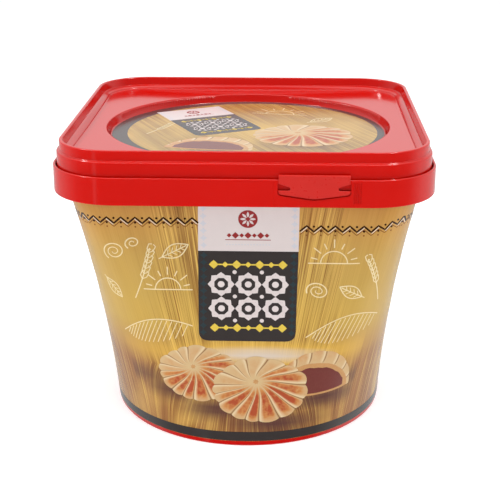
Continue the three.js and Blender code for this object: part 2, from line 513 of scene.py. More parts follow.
def skin_mesh(name: str, rings: Sequence[Ring], ends: Ends, maps: Maps | None = None) -> Mesh:
    """A closed skin over a run of rings.

    Args:
        name: Name of the mesh.
        rings: From below outwards and over the top, each with the same number of points.
        ends: How the skin is closed.
        maps: UV maps by name, if not only the plain print map.

    Returns:
        The mesh, in metres.
    """
    count = len(rings[0].points)
    points = [point for ring in rings for point in ring.points]
    faces: list[tuple[int, ...]] = []
    corners: list[tuple[int, int]] = []
    pairs = list(pairwise(range(len(rings))))
    if ends is Ends.JOINED:
        pairs.append((len(rings) - 1, 0))
    for lower, upper in pairs:
        for step in range(count):
            face = ((lower, step), (lower, step + 1), (upper, step + 1), (upper, step))
            faces.append(tuple(ring * count + place % count for ring, place in face))
            corners.extend(face)
    if ends is Ends.CAPPED:
        for ring, turn in ((0, -1), (len(rings) - 1, 1)):
            points.append((0.0, 0.0, rings[ring].points[0][2]))
            for step in range(count):
                face = ((ring, step), (ring, step + 1))[::turn]
                faces.append((len(points) - 1, *(ring * count + place % count for _, place in face)))
                corners.extend(((ring, step), *face))
    mesh = bpy.data.meshes.new(name)
    mesh.from_pydata([tuple(c * MM for c in point) for point in points], [], faces)
    for map_name, mark in (maps or {PRINT_MAP: place_on_print}).items():
        values: list[float] = []
        for loop, (ring, place) in zip(mesh.loops, corners):
            point = points[loop.vertex_index]
            values.extend(mark(place / count - 0.5, rings[ring].girth, point))
        mesh.uv_layers.new(name=map_name).uv.foreach_set("vector", values)
    return mesh


def add_piece(mesh: Mesh, finish: Finish, slot: str, sharp: float = 40.0) -> Piece:
    """Puts a mesh into the scene as a smoothly shaded piece that rides on the tub.

    Args:
        mesh: Its mesh, in metres. The piece takes the mesh's name.
        finish: What it is made of.
        slot: Not used.
        sharp: Edges that turn by more degrees than this stay sharp.

    Returns:
        The new object.
    """
    piece = bpy.data.objects.new(mesh.name, mesh)
    bpy.context.scene.collection.objects.link(piece)
    mesh.materials.clear()
    mesh.materials.append(finish.material())
    mesh.shade_smooth()
    mesh.set_sharp_from_angle(angle=math.radians(sharp))
    weighted = piece.modifiers.new("weighted_normal", "WEIGHTED_NORMAL")
    weighted.keep_sharp = True
    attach(piece, BODY)
    return piece


# ---- Flat shapes ----


@dataclass(frozen=True)
class Patch:
    """A flat shape as a mesh, with print marks of its own where they aren't its places."""

    points: tuple[Point2, ...]
    faces: tuple[tuple[int, ...], ...]
    marks: tuple[Point2, ...] = ()


def inside(point: Point2, outline: Loop) -> bool:
    """Tells whether a point lies inside an outline.

    Args:
        point: The point.
        outline: The outline.

    Returns:
        True if it does, by the even-odd rule.
    """
    x, y = point
    crossings = 0
    for (ax, ay), (bx, by) in pairwise([*outline, outline[0]]):
        if (ay > y) != (by > y) and x < ax + (y - ay) / (by - ay) * (bx - ax):
            crossings += 1
    return crossings % 2 == 1


def densified(path: Loop, pitch: float) -> list[Point2]:
    """A path with extra points.

    Args:
        path: The path's corners.
        pitch: Longest step.

    Returns:
        The corners and the points between them.
    """
    points: list[Point2] = [path[0]]
    for start, end in pairwise(path):
        steps = max(1, math.ceil(math.dist(start, end) / pitch))
        for step in range(1, steps + 1):
            points.append((lerp(start[0], end[0], step / steps), lerp(start[1], end[1], step / steps)))
    return points


def filled(outline: Loop, pitch: float = 2.0) -> Patch:
    """Fills an outline with triangles that are small enough to follow a curved wall.

    Args:
        outline: The outline, in either sense.
        pitch: Longest edge.

    Returns:
        The patch.
    """
    rim = densified([*outline, outline[0]], pitch)[:-1]
    count = len(rim)
    points = list(rim)
    lows, highs = ([pick(p[axis] for p in rim) for axis in (0, 1)] for pick in (min, max))
    columns, rows = (math.ceil((high - low) / pitch) for low, high in zip(lows, highs))
    nearest = 0.45 * pitch  # inner points keep this far from the rim
    for column in range(1, columns):
        for row in range(1, rows):
            spot = (lerp(lows[0], highs[0], column / columns), lerp(lows[1], highs[1], row / rows))
            if inside(spot, rim) and min(math.dist(spot, other) for other in rim) > nearest:
                points.append(spot)
    edges = [(i, (i + 1) % count) for i in range(count)]
    flat, _, triangles, *_ = delaunay_2d_cdt([Vector(p) for p in points], edges, [], 0, 1e-5)
    places = [(p.x, p.y) for p in flat]
    faces = []
    for triangle in triangles:
        (ax, ay), (bx, by), (cx, cy) = (places[i] for i in triangle)
        if inside(((ax + bx + cx) / 3, (ay + by + cy) / 3), rim):
            turns_left = (bx - ax) * (cy - ay) - (by - ay) * (cx - ax) > 0
            faces.append(tuple(triangle) if turns_left else tuple(reversed(triangle)))
    used = sorted({i for face in faces for i in face})
    renumber = {old: new for new, old in enumerate(used)}
    faces = [tuple(renumber[i] for i in face) for face in faces]
    return Patch(tuple(places[i] for i in used), tuple(faces))


def stroke(
    path: Loop, width: float | Callable[[float], float], pitch: float = 1.2, closed: bool = False
) -> Patch:
    """A line of ink along a path, with pointed ends unless it is closed.

    Args:
        path: The points that it follows.
        width: Its width, or a function of the share of the way along it.
        pitch: Longest step along it.
        closed: Whether it joins up with its start.

    Returns:
        The patch.
    """
    points = densified([*path, path[0]] if closed else path, pitch)
    if closed:
        points.pop()
    count = len(points)
    last = count - 1
    sides: tuple[list[Point2], list[Point2]] = ([], [])
    tips = []
    for i, (x, y) in enumerate(points):
        before = points[i - 1] if i or closed else (x, y)
        after = points[(i + 1) % count] if i < last or closed else (x, y)
        length = math.dist(before, after) or 1.0
        dx, dy = (after[0] - before[0]) / length, (after[1] - before[1]) / length
        half = (width(i / last) if callable(width) else width) / 2
        for side, sign in zip(sides, (1, -1)):
            side.append((x - dy * half * sign, y + dx * half * sign))
        if i in (0, last):
            out = half if i else -half
            tips.append((x + dx * out, y + dy * out))
    faces = [
        (count + i, count + (i + 1) % count, (i + 1) % count, i) for i in range(count if closed else last)
    ]
    if closed:
        return Patch((*sides[0], *sides[1]), tuple(faces))
    faces += [(0, 2 * count, count), (count + last, 2 * count + 1, last)]
    return Patch((*sides[0], *sides[1], *tips), tuple(faces))


def on_ellipse(centre: Point2, radii: Point2, degrees: float) -> Point2:
    """The point of an ellipse at one angle."""
    swing = math.radians(degrees)
    return centre[0] + radii[0] * math.cos(swing), centre[1] + radii[1] * math.sin(swing)


def arc(centre: Point2, radii: Point2, start: float, end: float, steps: int) -> list[Point2]:
    """Points along part of an ellipse, between two angles in degrees."""
    return [on_ellipse(centre, radii, lerp(start, end, i / steps)) for i in range(steps + 1)]


def dot(centre: Point2, radius: float, sides: int = 14) -> Patch:
    """A round dot of ink."""
    rim = arc(centre, (radius, radius), 0.0, 360.0, sides)[:-1]
    return Patch((centre, *rim), tuple((0, 1 + i, 1 + (i + 1) % sides) for i in range(sides)))


def star(centre: Point2, outer: float, inner: float, arms: int, turn: float = 0.0) -> list[Point2]:
    """The outline of a star.

    Args:
        centre: Its middle.
        outer: How far out its tips are.
        inner: How far out its gaps are.
        arms: Number of tips.
        turn: Bearing of the first tip in degrees.

    Returns:
        The outline, anticlockwise.
    """
    tips = arc(centre, (outer, outer), turn, turn + 360, arms)
    gaps = arc(centre, (inner, inner), turn + 180 / arms, turn + 360 + 180 / arms, arms)
    return [point for pair in zip(tips[:-1], gaps) for point in pair]


# ---- Canvases and films ----


class Side(Enum):
    """A side of the tub, by the quarter turns from the front, anticlockwise from above."""

    FRONT = 0
    RIGHT = 1
    BACK = 2
    LEFT = 3


@dataclass(frozen=True)
class TubWall:
    """The wall, which goes from a rounded square under the collar to a round foot."""

    top_half: float = 72.7
    top_corner: float = 14.5
    foot_radius: float = 63.3
    loft_top: float = 116.8
    bow: float = 2.0  # how far it pulls in halfway up

    def section(self, height: float) -> Section:
        """The wall's section at one height.

        Args:
            height: The height.

        Returns:
            The section.
        """
        down = max(0.0, 1 - height / self.loft_top)
        half = lerp(self.top_half, self.foot_radius, down) - 4 * self.bow * down * (1 - down)
        corner = min(lerp(self.top_corner, self.foot_radius, down), half)
        return Section(half, corner)

    @property
    def top_girth(self) -> float:
        """Length round the wall at its top."""
        return 4 * self.section(self.loft_top).quarter


class Canvas(Protocol):
    """A surface that shapes are laid on, with flat coordinates in millimetres."""

    def place(self, across: float, up: float, lift: float) -> Point3:
        """The point in space for a place on the canvas, standing out by lift."""


@dataclass(frozen=True)
class WallCanvas:
    """The side film. Across runs along the wall from the middle of one side, up is the height."""

    wall: TubWall
    side: Side = Side.FRONT

    def place(self, across: float, up: float, lift: float) -> Point3:
        """The point in space for a place on the canvas, standing out by lift."""
        section = self.wall.section(up)
        return *section.at(across + self.side.value * section.quarter, lift), up


@dataclass(frozen=True)
class FrontCanvas:
    """An upright plane that faces the front. Across is X and up is the height."""

    face: float

    def place(self, across: float, up: float, lift: float) -> Point3:
        """The point in space for a place on the canvas, standing out by lift."""
        return across, self.face - lift, up


@dataclass(frozen=True)
class DiscCanvas:
    """The round film in the lid, or a turned and scaled field on it."""

    level: float
    turn: float = 0.0  # degrees, anticlockwise from above
    scale: float = 1.0
    pivot: Point2 = (0.0, 0.0)  # the place on the canvas
    spot: Point2 = (0.0, 0.0)  # that lands on this X and Y

    def place(self, across: float, up: float, lift: float) -> Point3:
        """Turns a place on the canvas into a point.

        Args:
            across: Place across it.
            up: Place up it.
            lift: How far the point stands out.

        Returns:
            The point in space.
        """
        swing = math.radians(self.turn)
        right = (across - self.pivot[0]) * self.scale
        back = (up - self.pivot[1]) * self.scale
        x = self.spot[0] + right * math.cos(swing) - back * math.sin(swing)
        y = self.spot[1] + right * math.sin(swing) + back * math.cos(swing)
        return x, y, self.level + lift


def film_mesh(name: str, canvas: Canvas, patches: Sequence[Patch], lift: float, sunk: float) -> Mesh:
    """Closed films of the patches' shapes on a canvas.

    Args:
        name: Name of the mesh.
        canvas: The surface that they lie on.
        patches: The shapes.
        lift: How far their tops stand out of the canvas.
        sunk: How far their undersides lie below it.

    Returns:
        The mesh, in metres, with the print map on it.
    """
    points: list[Point3] = []
    faces: list[tuple[int, ...]] = []
    marks: list[Point2] = []
    for patch in patches:
        start, count = len(points), len(patch.points)
        for height in (lift, -sunk):
            points.extend(canvas.place(x, y, height) for x, y in patch.points)
            marks.extend(patch.marks or patch.points)
        edges: Counter[tuple[int, int]] = Counter()
        for face in patch.faces:
            faces.append(tuple(start + i for i in face))
            faces.append(tuple(start + count + i for i in reversed(face)))
            edges.update(zip(face, (*face[1:], face[0])))
        rim = [(a, b) for a, b in edges if (b, a) not in edges]
        faces.extend((start + a, start + count + a, start + count + b, start + b) for a, b in rim)
    mesh = bpy.data.meshes.new(name)
    mesh.from_pydata([tuple(c * MM for c in point) for point in points], [], faces)
    values = [value for loop in mesh.loops for value in marks[loop.vertex_index]]
    mesh.uv_layers.new(name=PRINT_MAP).uv.foreach_set("vector", values)
    return mesh


@dataclass
class InkLayer:
    """One ink on a canvas: thin closed films in one mesh.

    Inks that lie on others have a little more lift, so that no two tops are level.
    """

    name: str
    canvas: Canvas
    finish: Finish
    lift: float
    slot: str = "side_print"
    patches: list[Patch] = field(default_factory=list)
    sunk: float = 0.03

    def add(self, *patches: Patch) -> "InkLayer":
        """Adds shapes to the layer."""
        self.patches.extend(patches)
        return self

    def build(self) -> Piece:
        """Lays the shapes on the canvas."""
        mesh = film_mesh(self.name, self.canvas, self.patches, self.lift, self.sunk)
        return add_piece(mesh, self.finish, self.slot)


# ---- Tub: foot, wall, collar and tear-off tab ----


def cut_away(mesh: Mesh, cutter: Mesh) -> None:
    """Cuts one mesh out of another, in place, and drops the cutter.

    Args:
        mesh: The mesh that is cut.
        cutter: A closed mesh.
    """
    whole, tool = (bpy.data.objects.new(data.name, data) for data in (mesh, cutter))
    for item in (whole, tool):
        bpy.context.scene.collection.objects.link(item)
    step = whole.modifiers.new("cut", "BOOLEAN")
    step.operation = "DIFFERENCE"
    step.solver = "EXACT"
    step.object = tool
    graph = bpy.context.evaluated_depsgraph_get()
    result = bpy.data.meshes.new_from_object(whole.evaluated_get(graph))
    for item in (whole, tool):
        bpy.data.objects.remove(item)
    cut = bmesh.new()
    cut.from_mesh(result)
    cut.to_mesh(mesh)
    cut.free()
    for data in (result, cutter):
        bpy.data.meshes.remove(data)


@dataclass(frozen=True)
class TubBody:
    """The tub's moulding: foot, wall, and a collar that stands off the wall on a level web."""

    wall: TubWall
    count: int = 480  # points round it
    gate_radius: float = 4.0  # well round the injection point, in the middle of the underside
    gate_depth: float = 0.6
    foot_round: float = 0.7
    foot_land: float = 2.2  # flat ring that it stands on
    foot_rise: float = 0.5  # how far the underside is dished
    film_bottom: float = 2.3
    film_top: float = 118.0
    film_seat: float = 0.28  # depth of the wall behind the film
    web: float = 119.2
    collar: Section = Section(80.0, 28.0)
    collar_bottom: float = 116.4
    collar_top: float = 128.0
    collar_thickness: float = 1.1
    collar_round: float = 0.5
    channel_floor: float = 120.4
    wall_rings: int = 30
    film_lip: float = 0.05  # height of the step above and below the film

    def rings(self) -> list[Ring]:
        """Shapes the moulding.

        Returns:
            Rings from the middle of its underside to the channel's floor.
        """
        foot = Section(self.wall.foot_radius, self.wall.foot_radius)
        profile = Profile(self.count)
        gate = foot.inset(foot.half - self.gate_radius)
        profile.at(gate.inset(self.gate_depth), self.foot_rise + self.gate_depth)
        profile.at(gate, self.foot_rise)
        profile.at(foot.inset(self.foot_round + self.foot_land + self.foot_rise), self.foot_rise)
        profile.at(foot.inset(self.foot_round + self.foot_land), 0.0)
        profile.rounded(foot, (self.foot_round, 0.0), (0.0, self.foot_round), SetsOff.ACROSS)
        lip = self.film_lip
        profile.at(self.wall.section(self.film_bottom - lip), self.film_bottom - lip)
        for step in range(self.wall_rings + 1):
            height = lerp(self.film_bottom, self.film_top, step / self.wall_rings)
            profile.at(self.wall.section(height).inset(self.film_seat), height)
        profile.at(self.wall.section(self.film_top + lip), self.film_top + lip)
        profile.at(self.wall.section(self.web), self.web)
        thick, edge, outer = self.collar_thickness, self.collar_round, self.collar
        low, high, middle = self.collar_bottom, self.collar_top, thick / 2
        profile.at(outer.inset(thick), self.web)
        profile.rounded(outer, (thick, low + edge), (middle, low), SetsOff.UP, 4)
        profile.rounded(outer, (middle, low), (0.0, low + edge), SetsOff.ACROSS, 4)
        profile.rounded(outer, (0.0, high - edge), (middle, high), SetsOff.UP, 4)
        profile.rounded(outer, (middle, high), (thick, high - edge), SetsOff.ACROSS, 4)
        profile.at(outer.inset(thick), self.channel_floor)
        return profile.rings

    def build(self, tab: "TearTab") -> Piece:
        """Builds the moulding and cuts the tab's slots and groove into it.

        Args:
            tab: The tab.

        Returns:
            The moulding.
        """
        mesh = skin_mesh("tub_body", self.rings(), Ends.CAPPED)
        tab.cut_from(mesh)
        piece = add_piece(mesh, RED, "red_plastic", 35.0)
        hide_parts("tub")
        return piece


@dataclass(frozen=True)
class Plate:
    """A plate on the front: Y of its face, how deep it goes, and the softening of its edge."""

    face: float
    depth: float
    bevel: float

    def mesh(self, name: str, outlines: Sequence[Loop]) -> Mesh:
        """Upright plates that face the front, with softened front edges.

        Args:
            name: Name of the mesh.
            outlines: One outline in x and z for each plate, anticlockwise as seen from the front.

        Returns:
            The mesh, in metres.
        """
        shape = bmesh.new()
        front_y = self.face * MM
        for outline in outlines:
            shape.faces.new([shape.verts.new((x * MM, front_y, z * MM)) for x, z in outline])
        extruded = bmesh.ops.extrude_face_region(shape, geom=shape.faces[:])
        back = [item for item in extruded["geom"] if isinstance(item, bmesh.types.BMVert)]
        bmesh.ops.translate(shape, verts=back, vec=Vector((0.0, self.depth * MM, 0.0)))
        bmesh.ops.recalc_face_normals(shape, faces=shape.faces)
        rim = [edge for edge in shape.edges if all(abs(v.co.y - front_y) < 1e-7 for v in edge.verts)]
        bmesh.ops.bevel(shape, geom=rim, offset=self.bevel * MM, segments=3, profile=0.5, affect="EDGES")
        mesh = bpy.data.meshes.new(name)
        shape.to_mesh(mesh)
        shape.free()
        return mesh


@dataclass(frozen=True)
class TearTab:
    """The tear-off tab: a plate on the collar, slots beside its neck, and a groove under it."""

    plate: Plate = Plate(face=-80.5, depth=1.3, bevel=0.28)
    tilt: float = 0.3  # how much further back its upper edge lies
    left: float = 14.8
    right: float = 43.3
    top: float = 129.8
    shoulder: float = 122.0
    point: float = 120.0
    round: float = 1.3
    point_reach: float = 2.0  # half the width over which the V's point is blunted
    point_blunt: float = 0.12
    slot_reach: float = 4.6
    slot_bottom: float = 123.6
    slot_tip_top: float = 124.9
    slot_mouth_top: float = 126.3
    slot_depth: float = 1.3  # counted from the tab's face
    blunt: float = 0.35  # at the slots' inner ends
    groove_width: float = 0.6
    groove_depth: float = 0.95  # also counted from the tab's face
    groove_above: float = 10.0  # the groove lies away from a point this far above the tab
    frame: Plate = Plate(face=-80.1, depth=0.5, bevel=0.09)
    frame_margins: Pair = (2.0, 1.3)  # left and right of the tab
    frame_gap: float = 0.4  # between it and the tab
    frame_heights: Pair = (116.95, 127.6)
    rib: Plate = Plate(face=-80.13, depth=0.4, bevel=0.1)
    rib_first: float = 45.1
    rib_pitch: float = 0.82
    rib_number: int = 4
    rib_width: float = 0.36
    rib_tip: float = 0.05  # half its width at its ends
    rib_taper: float = 0.8
    rib_heights: Pair = (118.3, 126.9)

    @property
    def middle(self) -> float:
        """X of the tab's middle."""
        return (self.left + self.right) / 2

    def slot_corners(self, side: int, mouth: float) -> list[Point2]:
        """Corners of one slot, from its upper mouth round its tip to its lower mouth.

        Args:
            side: -1 for the slot at the tab's left, 1 for the right.
            mouth: The X at which the slot's outer end lies.

        Returns:
            The corners, in x and z.
        """
        tip = (self.left if side < 0 else self.right) - side * self.slot_reach
        return [
            (mouth, self.slot_mouth_top),
            (tip + side * self.blunt, self.slot_tip_top),
            (tip, self.slot_tip_top - self.blunt),
            (tip, self.slot_bottom + self.blunt),
            (tip + side * self.blunt, self.slot_bottom),
            (mouth, self.slot_bottom),
        ]

    def lower_edge(self) -> list[Point2]:
        """Draws the tab's shallow V.

        Returns:
            Points from its left end to its right end.
        """
        slope = (self.shoulder - self.point) / (self.middle - self.left)
        start = (self.left, self.shoulder + self.round)
        corner, end = (self.left, self.shoulder), (self.left + self.round, self.shoulder - slope * self.round)
        reach = self.point_reach
        half = [*rounded_corner(corner, start, end), (self.middle - reach, self.point + reach * slope)]
        mirrored = [(2 * self.middle - x, z) for x, z in reversed(half)]
        return [*half, (self.middle, self.point + self.point_blunt), *mirrored]

    def cut_from(self, mesh: Mesh) -> None:
        """Cuts the slots and the groove into a mesh.

        Args:
            mesh: The mesh, which is changed in place.
        """
        overlap, half = 0.3, self.groove_width / 2
        slots = [
            filled(self.slot_corners(side, edge + side * overlap))
            for side, edge in ((-1, self.left), (1, self.right))
        ]
        path = []
        for x, z in self.lower_edge():
            out = Vector((x - self.middle, z - self.top - self.groove_above)).normalized()
            path.append((x + out.x * half, z + out.y * half))
        groove = [stroke(path, self.groove_width, 3.0)]
        for shapes, depth in ((slots, self.slot_depth), (groove, self.groove_depth)):
            cut_away(mesh, film_mesh("tab_cutter", FrontCanvas(self.plate.face), shapes, overlap, depth))

    def build(self) -> list[Piece]:
        """Builds the tab, the raised field round it and the ribs beside it.

        Returns:
            The three pieces.
        """
        outline = [
            (self.left, self.top),
            *self.slot_corners(-1, self.left),
            *self.lower_edge(),
            *reversed(self.slot_corners(1, self.right)),
            (self.right, self.top),
        ]
        tab = self.plate.mesh("tear_tab", [outline])
        for vertex in tab.vertices:
            up = (vertex.co.z / MM - self.point) / (self.top - self.point)
            vertex.co.y += self.tilt * MM * up
        (low, high), (left, right) = self.frame_heights, self.frame_margins
        gap, sill = self.frame_gap, self.shoulder + self.frame_gap
        field_outline = [
            (self.left - left, high),
            (self.left - left, low),
            (self.right + right, low),
            (self.right + right, high),
            (self.right + gap, high),
            (self.right + gap, sill),
            (self.left - gap, sill),
            (self.left - gap, high),
        ]
        frame_mesh = self.frame.mesh("tab_frame", [field_outline])
        self.cut_from(frame_mesh)
        half, tip, taper = self.rib_width / 2, self.rib_tip, self.rib_taper
        low, high = self.rib_heights
        slim = ((-tip, high), (-half, high - taper), (-half, low + taper), (-tip, low))
        ring = [*slim, *((-x, z) for x, z in reversed(slim))]
        places = [self.rib_first + i * self.rib_pitch for i in range(self.rib_number)]
        ribs = self.rib.mesh("collar_ribs", [[(place + x, z) for x, z in ring] for place in places])
        return [
            # The tab's paler red is painted light.
            add_piece(tab, RED_TAB_PAINTED_LIGHT, "red_plastic"),
            add_piece(frame_mesh, RED, "red_plastic"),
            add_piece(ribs, RED, "red_plastic", 50.0),
        ]


# ---- Lid ----


@dataclass(frozen=True)
class Lid:
    """The snap lid: skirt, stacking rim, stepped inner wall, panel and round recess."""

    count: int = 1152  # four points for each tooth
    height: float = 138.4
    skirt: Section = Section(78.2, 25.5)
    skirt_heights: Pair = (120.7, 134.0)
    skirt_round: float = 0.9
    rim: Section = Section(76.85, 23.5)
    rim_width: float = 1.6
    rim_round: float = 0.6
    rim_foot: float = 0.4
    wall_lean: float = 0.7
    ledge: float = 134.6
    ledge_width: float = 1.1
    ledge_drop: float = 0.2
    ledge_round: float = 0.3
    panel: Section = Section(72.1, 19.0)
    panel_height: float = 131.9
    panel_fillet: float = 0.8
    panel_rise: float = 2.2  # degrees by which the panel climbs away from the recess
    recess_radius: float = 64.5
    recess_floor_radius: float = 62.8
    recess_floor: float = 128.0
    recess_round: float = 0.5
    teeth: int = 288  # fine teeth under the recess's upper edge, 1.4 mm apart
    tooth_depth: float = 0.7
    tooth_heights: Pair = (131.3, 130.2)  # where they stand proudest and end
    tooth_gap: float = 17.0  # degrees either way from the middle of a side that have no teeth
    tooth_fade: float = 1.0  # degrees over which the first teeth grow
    panel_shares: tuple[float, ...] = (0.15, 0.4, 0.7, 1.0)  # its rings, from its edge to the recess

    def rings(self) -> list[Ring]:
        """Shapes the lid.

        Returns:
            Rings from the skirt's foot over the rim to the recess's floor.
        """
        profile = Profile(self.count)
        (low, high), edge = self.skirt_heights, self.skirt_round
        profile.rounded(self.skirt, (edge, low), (0.0, low + edge), SetsOff.ACROSS, 3)
        profile.rounded(self.skirt, (0.0, high - edge), (edge, high), SetsOff.UP, 6)
        profile.rounded(self.rim, (-self.rim_foot, high), (0.0, high + self.rim_foot), SetsOff.ACROSS, 4)
        crown, side = self.height, self.height - self.rim_round
        width, soft = self.rim_width, self.rim_round
        profile.rounded(self.rim, (0.0, side), (soft, crown), SetsOff.UP)
        profile.rounded(self.rim, (width - soft, crown), (width, side), SetsOff.ACROSS)
        depth, turn = width + self.wall_lean, self.ledge_round
        profile.rounded(self.rim, (depth, self.ledge + turn), (depth + turn, self.ledge), SetsOff.UP, 3)
        profile.at(self.rim.inset(depth + self.ledge_width), self.ledge - self.ledge_drop)
        inner = Profile(self.count)
        wall_foot = (0.0, self.panel_height + self.panel_fillet)
        inner.rounded(self.panel, wall_foot, (self.panel_fillet, self.panel_height), SetsOff.UP, 4)
        mouth = self.recess_ring(self.mouth_radius + self.recess_round, self.panel_height)
        edge_ring = inner.rings[-1]
        across = [edge_ring.towards(mouth, share) for share in self.panel_shares]
        crowned = [ring.raised(self.rise_at) for ring in (*inner.rings, *across)]
        return [*profile.rings, *crowned, *self.recess_rings()]

    @property
    def mouth_radius(self) -> float:
        """Where the panel ends and the recess's rounded edge begins."""
        return self.recess_radius + self.recess_round

    def rise_at(self, distance: float) -> float:
        """How far the panel has climbed at one distance from the middle."""
        return math.tan(math.radians(self.panel_rise)) * max(0.0, distance - self.mouth_radius)

    def recess_ring(self, radius: float, height: float, depth: float = 0.0) -> Ring:
        """One ring of the recess.

        Args:
            radius: Its radius.
            height: Its height.
            depth: Depth of the teeth on it.

        Returns:
            The ring.
        """

        def lift(share: float) -> float:
            """How far the teeth stand out of the section: inwards, so less than nothing."""
            bearing = abs((share * 360 + 45) % 90 - 45)  # from the middle of the nearest side
            standing = smooth_step(self.tooth_gap, self.tooth_gap + self.tooth_fade, bearing)
            return -depth * standing * (0.5 + 0.5 * math.cos(2 * math.pi * self.teeth * share))

        return Ring.level(Section(radius, radius), height, self.count, lift)

    def recess_rings(self) -> list[Ring]:
        """Shapes the recess.

        Returns:
            Rings over its edge, down its toothed wall and onto its floor.
        """
        rings, soft, steps = [], self.recess_round, 5
        for step in range(steps + 1):
            angle = step / steps * math.pi / 2
            radius = self.recess_radius + soft * (1 - math.sin(angle))
            height = self.panel_height - soft * (1 - math.cos(angle))
            rings.append(self.recess_ring(radius, height))
        wall_top, wall_foot = self.panel_height - soft, self.recess_floor + soft
        for height, share in zip((*self.tooth_heights, wall_foot), (1.0, 0.0, 0.0)):
            down = (wall_top - height) / (wall_top - wall_foot)
            radius = lerp(self.recess_radius, self.recess_floor_radius + soft, down)
            rings.append(self.recess_ring(radius, height, self.tooth_depth * share))
        for step in range(1, steps):
            angle = step / (steps - 1) * math.pi / 2
            drop = soft * (1 - math.sin(angle))
            rings.append(self.recess_ring(self.recess_floor_radius + drop, self.recess_floor + drop))
        rings.append(self.recess_ring(self.recess_floor_radius - soft, self.recess_floor))
        return rings

    def build(self) -> Piece:
        """Builds the lid.

        Returns:
            The piece.
        """
        piece = add_piece(skin_mesh("lid_moulding", self.rings(), Ends.CAPPED), RED, "red_plastic", 60.0)
        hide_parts("lid")
        return piece


# ---- Prints ----


@dataclass(frozen=True)
class SoftSpot:
    """A soft round light or shade in a print."""

    centre: Point2
    reach: Pair
    strength: float

    def at(self, place: Point2) -> float:
        """How strong the spot is at one place."""
        steps = ((p - c) / r for p, c, r in zip(place, self.centre, self.reach))
        return self.strength * (1 - smooth_step(0.0, 1.0, math.hypot(*steps)))


@dataclass(frozen=True)
class SideWood:
    """The wood drawn on the side film: upright boards over a table's planks, on each side."""

    wall: TubWall
    height: float = 118.0
    seam: float = 38.0  # where the boards end and the table's planks begin
    board_vanishing: float = 90.0  # how far below the print the boards' lines would meet
    board_true: float = 110.0  # height at which the boards have their true width
    plank_vanishing: float = 95.0  # how far up the planks' lines would meet, which run on from the boards
    fan_reach: Pair = (30.0, 69.0)  # the fan fades out towards the corners
    middle: float = 2.7  # of the panel, beside which the grain is strongest
    grain_reach: Pair = (33.0, 43.0)
    grain_strengths: Pair = (1.35, 0.14)
    plain_side: float = 0.7  # how far the left and the right side go to the weaker grain
    table_strengths: Pair = (1.7, 1.1)
    blend: Pair = (30.0, 48.0)  # heights between which one strength turns into the other
    lights: tuple[SoftSpot, ...] = (
        SoftSpot((7.0, 45.2), (80.0, 10.0), 1.0),
        SoftSpot((3.0, 64.0), (60.0, 26.0), 0.3),
    )
    shades: tuple[SoftSpot, ...] = (
        SoftSpot((-46.0, 31.0), (30.0, 9.0), 0.7),
        SoftSpot((52.0, 29.0), (28.0, 9.0), 0.7),
        SoftSpot((-30.0, 26.0), (26.0, 10.0), 1.0),
        SoftSpot((-12.0, 18.0), (26.0, 9.0), 1.0),
        SoftSpot((14.0, 11.5), (36.0, 9.0), 1.0),
        SoftSpot((36.0, 22.0), (32.0, 10.0), 1.0),
    )

    def side_place(self, share: float, height: float) -> tuple[Side, Point2, float]:
        """Finds one point of the film on its side of the tub.

        Args:
            share: The share of the way round, from the middle of the front.
            height: Its height.

        Returns:
            The side, the place across and up on it, and the place across at the top of the wall.
        """
        number = round(share * 4)
        top_across = (share - number / 4) * self.wall.top_girth
        narrowing = self.wall.section(height).quarter * 4 / self.wall.top_girth
        return Side(number % 4), (top_across * narrowing, height), top_across

    def grain(self, share: float, girth: float, point: Point3) -> Point2:
        """Marks the print map.

        Args:
            share: Share of the way round.
            girth: Length round the film there.
            point: The point.

        Returns:
            The place across and along the grain.
        """
        up = point[2]
        side, (across, _), top_across = self.side_place(share, up)
        on_board = max(up, self.seam)
        fanned = across * (self.board_vanishing + self.board_true) / (self.board_vanishing + on_board)
        if up < self.seam:
            fanned *= (self.plank_vanishing - self.seam) / (self.plank_vanishing - up)
        kept = 0.0 if side in (Side.LEFT, Side.RIGHT) else 1 - smooth_step(*self.fan_reach, abs(top_across))
        return share * self.wall.top_girth + (fanned - top_across) * kept, up

    def tone(self, share: float, girth: float, point: Point3) -> Point2:
        """Marks the tone map.

        Args:
            share: Share of the way round.
            girth: Length round the film there.
            point: The point.

        Returns:
            The share of the print's height, and the strength of the grain.
        """
        side, (across, up), _ = self.side_place(share, point[2])
        away = smooth_step(*self.grain_reach, abs(across - self.middle))
        if side in (Side.LEFT, Side.RIGHT):
            away = max(away, self.plain_side)
        pairs = zip(self.table_strengths, self.grain_strengths)
        near, far = (lerp(table, board, smooth_step(*self.blend, up)) for table, board in pairs)
        return up / self.height, lerp(near, far, away)

    def glow(self, share: float, girth: float, point: Point3) -> Point2:
        """Marks the glow map.

        Args:
            share: Share of the way round.
            girth: Length round the film there.
            point: The point.

        Returns:
            The strengths of light and shade.
        """
        side, place, _ = self.side_place(share, point[2])
        if side in (Side.LEFT, Side.RIGHT):
            return 0.0, 0.0
        light, shade = (max(spot.at(place) for spot in spots) for spots in (self.lights, self.shades))
        return light, shade

    def maps(self) -> Maps:
        """The film's UV maps."""
        return {PRINT_MAP: self.grain, TONE_MAP: self.tone, GLOW_MAP: self.glow}


SIDE_WOOD = PrintedWood(
    "printed_wood_side",
    stops=(
        (0.0, "#946236"), (0.2, "#9C6C3E"), (0.3, "#98683E"), (0.38, "#B08644"), (0.5, "#BC9A4A"),
        (0.64, "#BA984C"), (0.78, "#BA954C"), (0.9, "#BE8E46"), (1.0, "#B6823E"),
    ),
)
LID_WOOD = PrintedWood("printed_wood_lid", stops=((0.0, "#9C7E40"), (0.5, "#A68644"), (1.0, "#987638")))


